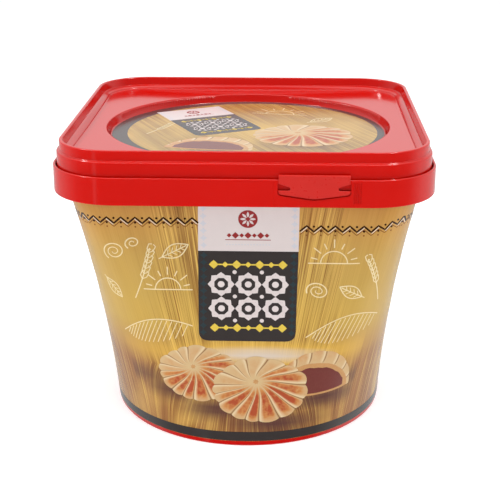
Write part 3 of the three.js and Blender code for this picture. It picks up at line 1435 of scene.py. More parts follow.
@dataclass(frozen=True)
class SideFilm:
    """The printed film round the tub's wall, with the dark stripe along its foot."""

    wall: TubWall
    count: int = 480
    bottom: float = 2.3
    top: float = 118.0
    pitch: float = 2.8  # between its rings
    thickness: float = 0.3
    stripe_heights: Pair = (2.45, 7.0)
    stripe_rings: int = 5
    ink: float = 0.04  # how far the stripe's ink stands off the film, and reaches into it
    seam_half: float = 0.1  # two rings this far above and below the wood's seam keep it sharp
    seam_clear: float = 0.5  # and no other ring comes this near

    def sleeve(
        self, name: str, heights: Sequence[float], out: float, within: float, maps: Maps | None = None
    ) -> Mesh:
        """A closed sleeve round the wall.

        Args:
            name: Name of the mesh.
            heights: Heights of its rings.
            out: How far its outer face stands off the wall.
            within: How far its inner face lies in the wall.
            maps: Its UV maps, if not only the plain one.

        Returns:
            The mesh.
        """
        outer = [Ring.level(self.wall.section(z).inset(-out), z, self.count) for z in heights]
        inner = [Ring.level(self.wall.section(z).inset(within), z, self.count) for z in heights]
        return skin_mesh(name, [*outer, *reversed(inner)], Ends.JOINED, maps)

    def build(self) -> list[Piece]:
        """Builds the film and the stripe.

        Returns:
            Both pieces.
        """
        wood = SideWood(self.wall)
        beside_seam = (wood.seam - self.seam_half, wood.seam + self.seam_half)
        steps = round((self.top - self.bottom) / self.pitch)
        heights = [lerp(self.bottom, self.top, i / steps) for i in range(steps + 1)]
        clear = (z for z in heights if abs(z - wood.seam) > self.seam_clear)
        heights = sorted([*clear, *beside_seam])
        mesh = self.sleeve("side_film", heights, 0.0, self.thickness, wood.maps())
        film = add_piece(mesh, SIDE_WOOD, "side_print", 50.0)
        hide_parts("side_label")
        rings = self.stripe_rings
        heights = [lerp(*self.stripe_heights, i / (rings - 1)) for i in range(rings)]
        stripe = self.sleeve("foot_stripe", heights, self.ink, self.ink)
        return [film, add_piece(stripe, CHARCOAL, "side_print", 50.0)]


@dataclass(frozen=True)
class ZigzagBorder:
    """The traditional zigzag border, with dots above its valleys and below its peaks.

    Every second stroke has a pale edge, and a faint line and faint dots repeat it lower down.
    """

    wall: TubWall
    height: float = 107.7
    waves: int = 23  # on each side of the tub
    rise: float = 2.65
    line: float = 0.78
    pale_line: float = 0.46
    pale_shift: Point2 = (0.42, -0.5)  # away from the panel, so that it shows under every other stroke
    faint_line: float = 0.4
    faint_shift: Point2 = (0.0, -1.5)
    dot_radius: float = 0.5
    dot_drop: float = 1.0  # of the dots below the peaks, and their rise above the valleys
    faint_radius: float = 0.38  # of the faint dots
    faint_drop: float = 2.9
    bare: Pair = (-18.2, 23.7)  # on the front and the back the panel stands between these
    sag: float = 3.0  # the stretch right of the panel lies lower
    sag_end: Pair = (53.0, 69.0)

    def level(self, side: Side, across: float) -> float:
        """Height of the border's middle line at one place."""
        sags = side in (Side.FRONT, Side.BACK) and across >= self.bare[1] - 1
        return self.height - sags * self.sag * (1 - smooth_step(*self.sag_end, across))

    def build(self) -> list[Piece]:
        """Builds the line and its dots, the pale edge, and the faint line and dots below."""
        return [piece for side in Side for piece in self.build_side(side)]

    def build_side(self, side: Side) -> list[Piece]:
        """Builds the border on one side of the tub.

        Args:
            side: The side.

        Returns:
            Its three inks.
        """
        canvas, tag = WallCanvas(self.wall, side), side.name.lower()
        dark = InkLayer(f"{tag}_border_line", canvas, UMBER, 0.05)
        pale = InkLayer(f"{tag}_border_pale_edge", canvas, PALE_EDGE, 0.035)
        faint = InkLayer(f"{tag}_border_faint_line", canvas, FAINT_BROWN, 0.02)
        quarter = self.wall.section(self.height).quarter
        half = quarter / self.waves / 2
        stretches = [(-quarter / 2, quarter / 2)]
        if side in (Side.FRONT, Side.BACK):
            stretches = [(-quarter / 2, self.bare[0]), (self.bare[1], quarter / 2)]
        for start, end in stretches:
            corners = [i * half - quarter / 2 for i in range(2 * self.waves + 1)]
            peaks = [across for across in corners[::2] if start <= across <= end]
            valleys = [across for across in corners[1::2] if start <= across <= end]
            path = [self.corner(side, across, half) for across in sorted({start, end, *peaks, *valleys})]
            away = 1 if start > 0 else -1
            for layer, (right, up), width in (
                (dark, (0.0, 0.0), self.line),
                (pale, self.pale_shift, self.pale_line),
                (faint, self.faint_shift, self.faint_line),
            ):
                layer.add(stroke([(x + right * away, y + up) for x, y in path], width))
            for across in (*peaks, *valleys):
                level = self.level(side, across)
                below = -1 if across in peaks else 1
                dark.add(dot((across, level + below * self.dot_drop), self.dot_radius))
            faint.add(*(dot((x, self.level(side, x) - self.faint_drop), self.faint_radius) for x in peaks))
        return [layer.build() for layer in (dark, pale, faint)]

    def corner(self, side: Side, across: float, half: float) -> Point2:
        """Finds one point of the zigzag.

        Args:
            side: The side of the tub.
            across: The place across it.
            half: Length of half a wave.

        Returns:
            The place on the canvas.
        """
        quarter = self.wall.section(self.height).quarter
        share = (across + quarter / 2) / half % 2
        return across, self.level(side, across) + self.rise * (abs(share - 1) - 0.5)


def rounded_corner(corner: Point2, start: Point2, end: Point2) -> list[Point2]:
    """Rounds off a corner.

    Args:
        corner: The sharp corner.
        start: Where the curve starts.
        end: Where it ends.

    Returns:
        Seven points on the curve.
    """
    points = []
    for step in range(7):
        share = step / 6
        into, out = (
            (lerp(a[0], b[0], share), lerp(a[1], b[1], share)) for a, b in ((start, corner), (corner, end))
        )
        points.append((lerp(into[0], out[0], share), lerp(into[1], out[1], share)))
    return points


@dataclass(frozen=True)
class StarPanel:
    """A two-tone panel, white over charcoal, with a rosette, lozenge rules and a lattice of stars."""

    prefix: str
    canvas: Canvas
    slot: str = "side_print"
    left: float = -17.9
    right: float = 23.4
    split_left: float = -18.4
    split_right: float = 23.25
    foot_left: float = -18.95
    foot_right: float = 22.55
    top: float = 117.8
    split: float = 94.2
    bottom: float = 51.8
    corner: float = 4.6
    middle: float = 2.35  # of the motifs
    column_inset: float = 1.9  # of the faint columns down both sides
    column_starts: Pair = (2.6, 2.0)  # above and below the split
    column_pitch: float = 3.3
    column_numbers: tuple[int, int] = (7, 12)  # of lozenges on the white and the charcoal field
    disc_up: float = 14.6  # of the maroon disc, above the split
    disc_radius: float = 4.0
    petals: int = 8
    petal_reach: Pair = (0.9, 3.1)  # from root to tip
    rule_up: float = 5.2  # of the maroon rule, above the split
    rule_reach: float = 9.3
    lozenge_up: float = 7.2
    lozenge_pitch: float = 2.6
    bead_up: float = 3.0
    bead_pitch: float = 1.25
    yellow_insets: Pair = (6.2, 6.4)  # of the yellow rules, from the split and from the foot
    yellow_reach: float = 15.2
    yellow_pitch: float = 4.8
    star_pitch: float = 11.4
    star_reach: float = 5.0
    star_line: float = 1.3

    def layer(self, name: str, finish: Finish, lift: float, *patches: Patch) -> InkLayer:
        """An ink layer of this panel."""
        return InkLayer(f"{self.prefix}_{name}", self.canvas, finish, lift, self.slot, list(patches))

    def build(self) -> list[Piece]:
        """Builds every ink of the panel."""
        layers = [*self.fields(), *self.side_columns(), *self.rosette(), self.rules(), self.lattice()]
        return [layer.build() for layer in layers]

    def fields(self) -> list[InkLayer]:
        """Draws the white field and the charcoal field below it.

        Returns:
            Both layers.
        """
        split_left, split_right = (self.split_left, self.split), (self.split_right, self.split)
        foot_left, foot_right = (self.foot_left, self.bottom), (self.foot_right, self.bottom)
        upper = [split_left, split_right, (self.right, self.top), (self.left, self.top)]
        lower = [split_right, split_left]
        for corner, turn in ((foot_left, 1), (foot_right, -1)):
            beside = (corner[0], corner[1] + self.corner)
            below = (corner[0] + turn * self.corner, corner[1])
            lower += rounded_corner(corner, *(beside, below)[::turn])
        return [
            self.layer("white_field", WHITE, 0.04, filled(upper)),
            self.layer("charcoal_field", CHARCOAL, 0.04, filled(lower)),
        ]

    def side_columns(self) -> list[InkLayer]:
        """Draws faint columns of lozenges down both sides of the two fields.

        Returns:
            The pale and the dark layer.
        """
        pearl = self.layer("pearl_lozenges", PEARL, 0.06)
        slate = self.layer("slate_lozenges", SLATE, 0.06)
        (upper, lower), (above, below) = self.column_numbers, self.column_starts
        for top, foot, inwards in ((self.left, self.foot_left, 1), (self.right, self.foot_right, -1)):
            column = top + inwards * self.column_inset
            for i in range(upper):
                up = self.split + above + self.column_pitch * i
                pearl.add(filled(star((column, up), 1.5, 0.8, 4)))
            for i in range(lower):
                up = self.split - below - self.column_pitch * i
                lean = (foot - top) * (self.split - up) / (self.split - self.bottom)
                slate.add(filled(star((column + lean, up), 1.6, 0.9, 4)))
        return [pearl, slate]

    def rosette(self) -> list[InkLayer]:
        """Draws a disc with a pale rosette, and a rule, lozenges and beads below it.

        Returns:
            The four layers.
        """
        centre = (self.middle, self.split + self.disc_up)
        rim = arc(centre, (self.disc_radius,) * 2, 0.0, 348.0, 29)
        disc = self.layer("maroon_disc", MAROON, 0.06, filled(rim, 1.5))
        petals = self.layer("pale_rosette", WHITE, 0.08)
        for i in range(self.petals):
            bearing = 360 / self.petals * i
            root, tip = (on_ellipse(centre, (reach, reach), bearing) for reach in self.petal_reach)
            petals.add(stroke([root, tip], lambda share: 0.25 + 0.75 * math.sin(math.pi * share), 0.3))
        line = [(self.middle + end * self.rule_reach, self.split + self.rule_up) for end in (-1, 1)]
        rule = self.layer("maroon_rule", MAROON, 0.06, stroke(line, 0.32))
        for i in range(7):
            size = 1.5 if i % 2 else 1.0
            spot = (self.middle + (i - 3) * self.lozenge_pitch, self.split + self.lozenge_up)
            rule.add(filled(star(spot, size, size * 0.72, 4), 1.0))
        places = [(self.middle + i * self.bead_pitch, self.split + self.bead_up) for i in range(-7, 8)]
        beads = [dot(place, 0.32, 10) for place in places]
        return [disc, petals, rule, self.layer("pearl_dots", PEARL, 0.06, *beads)]

    @property
    def rule_heights(self) -> Pair:
        """Heights of the two yellow rules."""
        return self.split - self.yellow_insets[0], self.bottom + self.yellow_insets[1]

    def rules(self) -> InkLayer:
        """Draws two rules of lozenges on a thin line.

        Returns:
            The layer.
        """
        yellow, reach = self.layer("yellow_rules", YELLOW, 0.06), self.yellow_reach
        for up in self.rule_heights:
            yellow.add(stroke([(self.middle - reach, up), (self.middle + reach, up)], 0.6))
            for i in range(7):
                size = 1.3 if i % 2 else 2.0
                place = (self.middle + (i - 3) * self.yellow_pitch, up)
                yellow.add(filled(star(place, size, size * 0.74, 4), 1.2))
        return yellow

    def lattice(self) -> InkLayer:
        """Draws two rows of eight-pointed stars, with a bead in each gap.

        Returns:
            The layer.
        """
        white, pitch, reach = self.layer("white_stars", WHITE, 0.07), self.star_pitch, self.star_reach
        level = sum(self.rule_heights) / 2
        for row in (-0.5, 0.5):
            for column in (-1, 0, 1):
                centre = (self.middle + column * pitch, level + row * pitch)
                for turn in (0.0, 45.0):
                    square = star(centre, reach, reach * math.sqrt(0.5), 4, turn)
                    white.add(stroke(square, self.star_line, closed=True))
                white.add(dot(centre, 1.45, 18))
        for column in (-0.5, 0.5):
            for row in (-1, 0, 1):
                white.add(dot((self.middle + column * pitch, level + row * pitch), 0.9))
        return white


def pleated(
    surface: Callable[[float, float], Point2],
    toasting: Callable[[float, float], float],
    pleats: int,
    closed: bool,
    rows: int = 16,
    columns: int = 10,
) -> Patch:
    """A fan of pleats, marked for the printed dough.

    Args:
        surface: Gives the point for a share of the turn, anticlockwise, and a share of the way out.
        toasting: Gives the amount of toasting for the same two shares.
        pleats: Number of pleats.
        closed: Whether the last pleat meets the first.
        rows: Flats from the inside outwards.
        columns: Flats across one pleat, which crowd towards its folds.

    Returns:
        The patch.
    """
    total = pleats * columns
    width = total if closed else total + 1
    points, marks = [], []
    for row in range(rows + 1):
        share = row / rows
        depth = smooth_step(0.05, 0.4, share)
        for column in range(width):
            pleat, part = divmod(column, columns)
            phase = (1 - math.cos(math.pi * part / columns)) / 2
            turn = (pleat + phase) / pleats
            # A dark fold on both sides, a bright ridge beside the first, then a toasted crest.
            fold = max(smooth_step(0.06, 0.0, phase), 0.7 * smooth_step(0.9, 1.0, phase))
            ridge = 0.8 * smooth_step(0.02, 0.1, phase) * smooth_step(0.3, 0.1, phase)
            crest = smooth_step(0.06, 0.3, phase) * smooth_step(1.0, 0.75, phase)
            points.append(surface(turn, share))
            marks.append((crest * toasting(turn, share), 0.5 + 0.5 * depth * (ridge - fold)))
    faces = []
    for row in range(rows):
        for column in range(total):
            after = (column + 1) % width
            inner, outer = row * width, (row + 1) * width
            faces.append((inner + column, outer + column, outer + after, inner + after))
    return Patch(tuple(points), tuple(faces), tuple(marks))


@dataclass(frozen=True)
class PleatedBiscuit:
    """A generic round pleated biscuit in print, seen from a little above."""

    name: str
    canvas: Canvas
    centre: Point2
    radii: Pair
    lift: float = 0.06
    slot: str = "side_print"
    hub: Point2 = (-0.1, 0.26)  # where the pleats meet, in shares of the radii
    pleats: int = 16
    start: float = 8.0  # bearing of the first fold
    swirl: float = 24.0  # degrees by which a pleat curls on its way out
    toasted_side: float = -62.0  # bearing of the side that is toasted most
    scallop: float = 0.065  # how far the pleats' ends bulge, as a share of the radii
    uneven: float = 0.035  # and how far the outline wanders
    crowding: Pair = (7.0, 3.2)  # degrees by which the pleats crowd on one side, and differ

    def surface(self, turn: float, share: float) -> Point2:
        """Finds a point of the biscuit.

        Args:
            turn: Share of the turn.
            share: Share of the way out.

        Returns:
            The place on the canvas.
        """
        out = lerp(0.04, 1.0, share)
        swing = 2 * math.pi * turn
        uneven = self.uneven * math.sin(5.3 * swing) * (1 - turn)
        bulge = 1 + self.scallop * (abs(math.sin(swing / 2 * self.pleats)) ** 0.7 - 0.6) + uneven
        crowded, varied = self.crowding
        squeeze = crowded * math.sin(swing) + varied * math.sin(5 * swing)
        degrees = self.start + 360 * turn + squeeze + self.swirl * (1 - out) ** 2
        x, y = on_ellipse(self.centre, (self.radii[0] * bulge, self.radii[1] * bulge), degrees)
        middle = [c + h * r for c, h, r in zip(self.centre, self.hub, self.radii)]
        return lerp(middle[0], x, out), lerp(middle[1], y, out)

    def toasting(self, turn: float, share: float) -> float:
        """Finds the amount of toasting: strongest halfway out, on the low side.

        Args:
            turn: Share of the turn.
            share: Share of the way out.

        Returns:
            The amount.
        """
        swing = math.radians(self.start + 360 * turn - self.toasted_side)
        side = 0.12 + 0.95 * smooth_step(-1.0, 0.7, math.cos(swing))
        uneven = 0.82 + 0.18 * math.sin(math.floor(self.pleats * turn) * 2.4)
        along = smooth_step(0.02, 0.4, share) * (1 - 0.85 * smooth_step(0.72, 1.0, share))
        return side * uneven * along

    def build(self) -> list[Piece]:
        """Builds the pleated body and the pinched hub on it.

        Returns:
            Both pieces.
        """
        body = pleated(self.surface, self.toasting, self.pleats, True)
        layer = InkLayer(f"{self.name}_body", self.canvas, DOUGH, self.lift, self.slot, [body])
        middle = self.surface(0.0, -0.04)
        pinch = filled(star(middle, self.radii[1] * 0.09, self.radii[1] * 0.055, 7), 1.0)
        hub = InkLayer(f"{self.name}_hub", self.canvas, CRUST, self.lift + 0.03, self.slot, [pinch])
        return [layer.build(), hub.build()]


@dataclass(frozen=True)
class HalvedBiscuit:
    """A generic halved biscuit in print: a pleated back, a crust and a dark filling."""

    name: str
    canvas: Canvas
    centre: Point2  # middle of the cut's lower edge
    width: float
    height: float
    lift: float = 0.06
    slot: str = "side_print"
    pleats: int = 9
    cut: Pair = (0.9, 0.66)  # the cut's upper edge, in shares of the width and the height
    arch: Pair = (-8.0, 188.0)  # bearings between which the back shows
    sag: float = 0.14  # how round its underside is, as a share of its height
    lean: float = 0.06  # the back shows more at its right, as a share of its width

    def edge(self, width: float, height: float, degrees: float, drop: float = 0.0) -> Point2:
        """Finds a point on a rounded arch.

        Args:
            width: The arch's share of the biscuit's width.
            height: Its share of the biscuit's height.
            degrees: The point's bearing.
            drop: How far it lies lower, as a share of the height.

        Returns:
            The place on the canvas.
        """
        swing = math.radians(degrees)
        tall = height * (1 if math.sin(swing) > 0 else self.sag)
        x = self.centre[0] + self.width * width / 2 * math.cos(swing)
        return x, self.centre[1] + self.height * (tall * math.sin(swing) - drop)

    def back(self, turn: float, share: float) -> Point2:
        """Finds a point on the back, between the cut's upper edge and the outline.

        Args:
            turn: Share of the turn.
            share: Share of the way out.

        Returns:
            The place on the canvas.
        """
        degrees = lerp(*self.arch, turn)
        near = self.edge(*self.cut, degrees)
        bulge = 1 + 0.02 * abs(math.sin(math.pi * self.pleats * turn))
        far_x, far_y = self.edge(bulge, bulge, degrees - 6 * (1 - share))
        shift = self.lean * self.width * math.sin(math.pi * turn)
        return lerp(near[0], far_x + shift, share), lerp(near[1], far_y, share)

    def ragged(self, width: float, height: float, rough: float, drop: float) -> Patch:
        """Fills an arch with a crumbly edge.

        Args:
            width: The arch's share of the biscuit's width.
            height: Its share of the biscuit's height.
            rough: How far its edge wanders, as a share.
            drop: How far it lies lower, as a share of the height.

        Returns:
            The patch.
        """
        draw, outline, corners = random.Random(11), [], 48
        for i in range(corners):
            reach = 1 + rough * draw.uniform(-1, 1)
            outline.append(self.edge(width * reach, height * reach, 360 / corners * i, drop))
        return filled(outline, 1.5)

    def build(self) -> list[Piece]:
        """Builds the back, the crust and the filling.

        Returns:
            The three pieces.
        """
        back = pleated(self.back, lambda turn, share: 0.45 * turn * share, self.pleats, False, 8)
        shapes = (
            ("back", DOUGH, back),
            ("crust", CRUST, self.ragged(0.96, 0.72, 0.01, 0.0)),
            ("filling", FILLING, self.ragged(0.83, 0.58, 0.03, -0.03)),
        )
        return [
            InkLayer(
                f"{self.name}_{name}", self.canvas, finish, self.lift + 0.015 * i, self.slot, [shape]
            ).build()
            for i, (name, finish, shape) in enumerate(shapes)
        ]


@dataclass(frozen=True)
class Sketch:
    """One chalk drawing in a frame of its own: its foot, its size and its turn in degrees."""

    foot: Point2
    size: float
    turn: float = 0.0
    line: float = 0.48

    def put(self, *places: Point2) -> list[Point2]:
        """Puts places of the drawing onto the canvas.

        Args:
            places: Places in shares of the size.

        Returns:
            The places in millimetres.
        """
        swing = math.radians(self.turn)
        across, up = math.cos(swing) * self.size, math.sin(swing) * self.size
        left, low = self.foot
        return [(left + x * across - y * up, low + x * up + y * across) for x, y in places]

    def pen(self, *places: Point2, width: float = 1.0) -> Patch:
        """One stroke of chalk."""
        return stroke(self.put(*places), self.line * width, 1.0)

    def ear(self) -> list[Patch]:
        """Draws an ear of grain on a bent stalk.

        Returns:
            Its strokes.
        """
        patches = [self.pen(*((i / 10, 0.12 * (i / 10) ** 2) for i in range(11)))]
        for i in range(6):
            at = 0.42 + 0.1 * i
            bend = 0.12 * at * at
            for out in (-1, 1):
                seed = ((at, bend), (at + 0.06, bend + 0.055 * out), (at + 0.15, bend + 0.06 * out))
                patches.append(self.pen(*seed, (at + 0.17, bend + 0.015 * out), width=0.85))
        return patches

    def curl(self, turns: float = 2.1) -> list[Patch]:
        """Draws a spiral.

        Args:
            turns: How often it goes round.

        Returns:
            Its stroke.
        """
        path = []
        for i in range(round(22 * turns) + 1):
            share = i / round(22 * turns)
            swing, reach = 2 * math.pi * turns * share, 0.16 + 0.84 * share
            path.append((reach * math.cos(swing), 0.8 * reach * math.sin(swing)))
        return [stroke(self.put(*path), lambda share: self.line * (0.7 + 0.5 * share))]

    def sun(self) -> list[Patch]:
        """Draws a half sun with rays.

        Returns:
            Its strokes.
        """
        patches = [self.pen(*arc((0.0, 0.0), (1.0, 1.0), 0.0, 180.0, 14)), self.pen((-1.9, 0.0), (1.9, 0.0))]
        for i in range(7):
            reaches = (1.3, 1.75 + 0.2 * (i % 2))
            near, far = (on_ellipse((0.0, 0.0), (reach, reach), 15 + 25 * i) for reach in reaches)
            patches.append(self.pen(near, far))
        return patches

    def leaf(self) -> list[Patch]:
        """Draws a leaf with a mid-rib and side veins.

        Returns:
            Its strokes.
        """
        patches = [self.pen((-0.62, 0.0), (0.42, 0.0), width=0.9)]
        for side in (-1, 1):
            edge = ((lerp(-0.5, 0.5, i / 12), side * 0.24 * math.sin(math.pi * i / 12)) for i in range(13))
            patches.append(self.pen(*edge))
            for i in range(4):
                at = lerp(-0.3, 0.2, i / 3)
                patches.append(self.pen((at, 0.0), (at + 0.12, side * 0.14), width=0.7))
        return patches

    def frond(self) -> list[Patch]:
        """Draws a long arched palm frond, whose leaflets hang close together.

        Returns:
            Its strokes.
        """
        rib = [(i / 16, 0.2 * math.sin(math.pi * i / 16 * 0.9)) for i in range(17)]
        patches = [self.pen(*rib)]
        for i in range(2, 16):
            x, y = rib[i]
            drop = 0.34 * math.sin(math.pi * (i - 1) / 16) ** 0.8
            patches.append(self.pen((x, y - 0.02), (x - 0.55 * drop, y - drop), width=0.75))
        return patches


def sketched(side: Side) -> list[Patch]:
    """Draws what one side of the tub carries in chalk.

    Args:
        side: The side.

    Returns:
        All strokes.
    """
    if side in (Side.LEFT, Side.RIGHT):
        sketches = (
            Sketch((-46.0, 78.0), 24.0, 70.0).ear(),
            Sketch((-22.0, 92.0), 5.4, 200.0).curl(),
            Sketch((2.0, 84.0), 6.4).sun(),
            Sketch((27.0, 92.0), 13.0, 28.0).leaf(),
            Sketch((46.0, 80.0), 4.6, 20.0).curl(1.7),
            Sketch((-40.0, 58.0), 33.0, 4.0).frond(),
            Sketch((10.0, 56.0), 33.0, 8.0).frond(),
            Sketch((-8.0, 66.0), 11.0, -38.0).leaf(),
        )
    else:
        sketches = (
            Sketch((-46.0, 71.0), 25.0, 66.0).ear(),
            Sketch((-54.0, 93.0), 5.4, 200.0).curl(),
            Sketch((-45.6, 97.5), 3.4, 20.0).curl(1.6),
            Sketch((-28.0, 94.0), 12.5, 28.0).leaf(),
            Sketch((-31.5, 76.0), 5.4).sun(),
            Sketch((-57.0, 74.0), 11.5, -46.0).leaf(),
            Sketch((-55.0, 52.0), 34.0, 8.0).frond(),
            Sketch((38.0, 89.0), 5.6).sun(),
            Sketch((61.0, 68.0), 24.0, 104.0).ear(),
            Sketch((31.5, 76.0), 5.0, 160.0).curl(),
            Sketch((46.0, 75.0), 12.0, 150.0).leaf(),
            Sketch((27.0, 54.0), 36.0, 6.0).frond(),
        )
    return [patch for patches in sketches for patch in patches]


@dataclass(frozen=True)
class SidePrint:
    """All that is printed on one side of the tub, over the wood."""

    wall: TubWall
    side: Side

    def build(self) -> list[Piece]:
        """Prints the sketches, and on the front and the back the panel and the biscuits.

        Returns:
            The pieces.
        """
        canvas, tag = WallCanvas(self.wall, self.side), self.side.name.lower()
        pieces = [InkLayer(f"{tag}_sketches", canvas, CHALK, 0.045, patches=sketched(self.side)).build()]
        if self.side in (Side.LEFT, Side.RIGHT):
            return pieces
        pieces += StarPanel(f"{tag}_panel", canvas).build()
        biscuits = (
            HalvedBiscuit(f"{tag}_halved_biscuit", canvas, (31.0, 26.0), width=36.0, height=20.5),
            PleatedBiscuit(f"{tag}_biscuit_behind", canvas, (-20.0, 35.5), (17.5, 13.5), start=3.0),
            PleatedBiscuit(f"{tag}_biscuit_before", canvas, (7.5, 28.0), (20.5, 15.8), lift=0.13),
        )
        return [*pieces, *(piece for biscuit in biscuits for piece in biscuit.build())]


@dataclass(frozen=True)
class LidFilm:
    """The round printed film in the lid's recess: a dark ring round a turned picture."""

    radius: float = 62.3
    bottom: float = 128.3
    top: float = 128.6
    soft: float = 0.12
    count: int = 192
    rings: tuple[float, ...] = (50.0, 30.0, 10.0)  # radii of the rings on its face
    picture_radius: float = 57.2
    picture_pitch: float = 6.0  # longest edge in its ground
    grain_strength: float = 0.8
    picture_centre: Point2 = (1.9, 0.0)  # the picture isn't quite centred in the ring
    turn: float = 27.0
    panel_scale: float = 0.8
    panel_pivot: Point2 = (2.7, 84.0)
    panel_spot: Point2 = (-19.0, 19.0)
    haze: SoftSpot = SoftSpot((8.0, 2.0), (40.0, 26.0), 0.5)
    shades: tuple[SoftSpot, ...] = (
        SoftSpot((26.0, -26.0), (30.0, 14.0), 0.8),
        SoftSpot((-12.0, -40.0), (30.0, 9.0), 0.8),
    )

    def build(self) -> list[Piece]:
        """Builds the disc with its ring, the picture's ground and the shapes on it.

        Returns:
            The pieces.
        """
        disc, slot = Section(self.radius, self.radius), "lid_print"
        profile = Profile(self.count).at(disc, self.bottom)
        profile.rounded(disc, (0.0, self.top - self.soft), (self.soft, self.top), SetsOff.UP, 3)
        for radius in self.rings:
            profile.at(Section(radius, radius), self.top)
        film = add_piece(skin_mesh("lid_film", profile.rings, Ends.CAPPED), CHARCOAL, slot, 50.0)
        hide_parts("lid_label")
        turned = DiscCanvas(self.top, self.turn, spot=self.picture_centre)
        rim = arc((0.0, 0.0), (self.picture_radius,) * 2, 0.0, 357.0, 119)
        ground = filled(rim, self.picture_pitch)
        picture = InkLayer("lid_picture_ground", turned, LID_WOOD, 0.03, slot, [ground]).build()
        for name, mark in ((TONE_MAP, self.tone), (GLOW_MAP, self.glow)):
            values = [v for loop in picture.data.loops for v in mark(picture.data, loop.vertex_index)]
            picture.data.uv_layers.new(name=name).uv.foreach_set("vector", values)
        panel = DiscCanvas(self.top, self.turn, self.panel_scale, self.panel_pivot, self.panel_spot)
        flat, slanted = DiscCanvas(self.top), DiscCanvas(self.top, -8.0)
        drawings = (
            Sketch((-14.0, -30.0), 6.0, 160.0).curl(),
            Sketch((34.0, 22.0), 14.0, 40.0).leaf(),
            Sketch((14.0, 34.0), 7.0, -10.0).sun(),
            Sketch((-46.0, -8.0), 22.0, 60.0).ear(),
        )
        chalk = InkLayer("lid_sketches", flat, CHALK, 0.045, slot, [p for d in drawings for p in d])
        halved = HalvedBiscuit("lid_halved_biscuit", slanted, (-12.0, -36.0), 38.0, 21.0, slot=slot)
        whole = PleatedBiscuit("lid_biscuit", flat, (25.0, -9.0), (22.0, 20.0), lift=0.09, slot=slot)
        return [
            film,
            picture,
            chalk.build(),
            *StarPanel("lid_panel", panel, slot).build(),
            *halved.build(),
            *whole.build(),
        ]

    def tone(self, mesh: Mesh, vertex: int) -> Point2:
        """Tone map of the picture's ground: the share from front to back, and the grain's strength."""
        return 0.5 + mesh.vertices[vertex].co.y / MM / 2 / self.radius, self.grain_strength

    def glow(self, mesh: Mesh, vertex: int) -> Point2:
        """Glow map of the picture's ground: a haze and the biscuits' shades."""
        place = (mesh.vertices[vertex].co.x / MM, mesh.vertices[vertex].co.y / MM)
        return self.haze.at(place), max(shade.at(place) for shade in self.shades)


# ---- Studio ----


@dataclass(frozen=True)
class SeamlessPaper(Finish):
    """Matt background paper on a lit table, so that it stays white close to what stands on it."""

    light: str = "#FFFFFF"
    dark: str = "#FAFAFA"
    tooth_width: float = 3.0
    roughness: float = 0.95
    glow: float = 0.25

    def surface(self, tree: NodeTree) -> dict[str, Any]:
        """White with a faint tooth, lit a little from below."""
        place = add_node(tree, "TexCoord").outputs["Object"]
        tooth = add_node(tree, "TexNoise", {"Vector": place, "Scale": per_metre(self.tooth_width)})
        tones = {0: tooth.outputs["Fac"], 6: linear(self.light), 7: linear(self.dark)}
        return {
            "Base Color": add_node(tree, "Mix", tones, data_type="RGBA").outputs[2],
            "Roughness": self.roughness,
            "Specular IOR Level": 0.0,
            "Emission Color": linear(self.light),
            "Emission Strength": self.glow,
        }


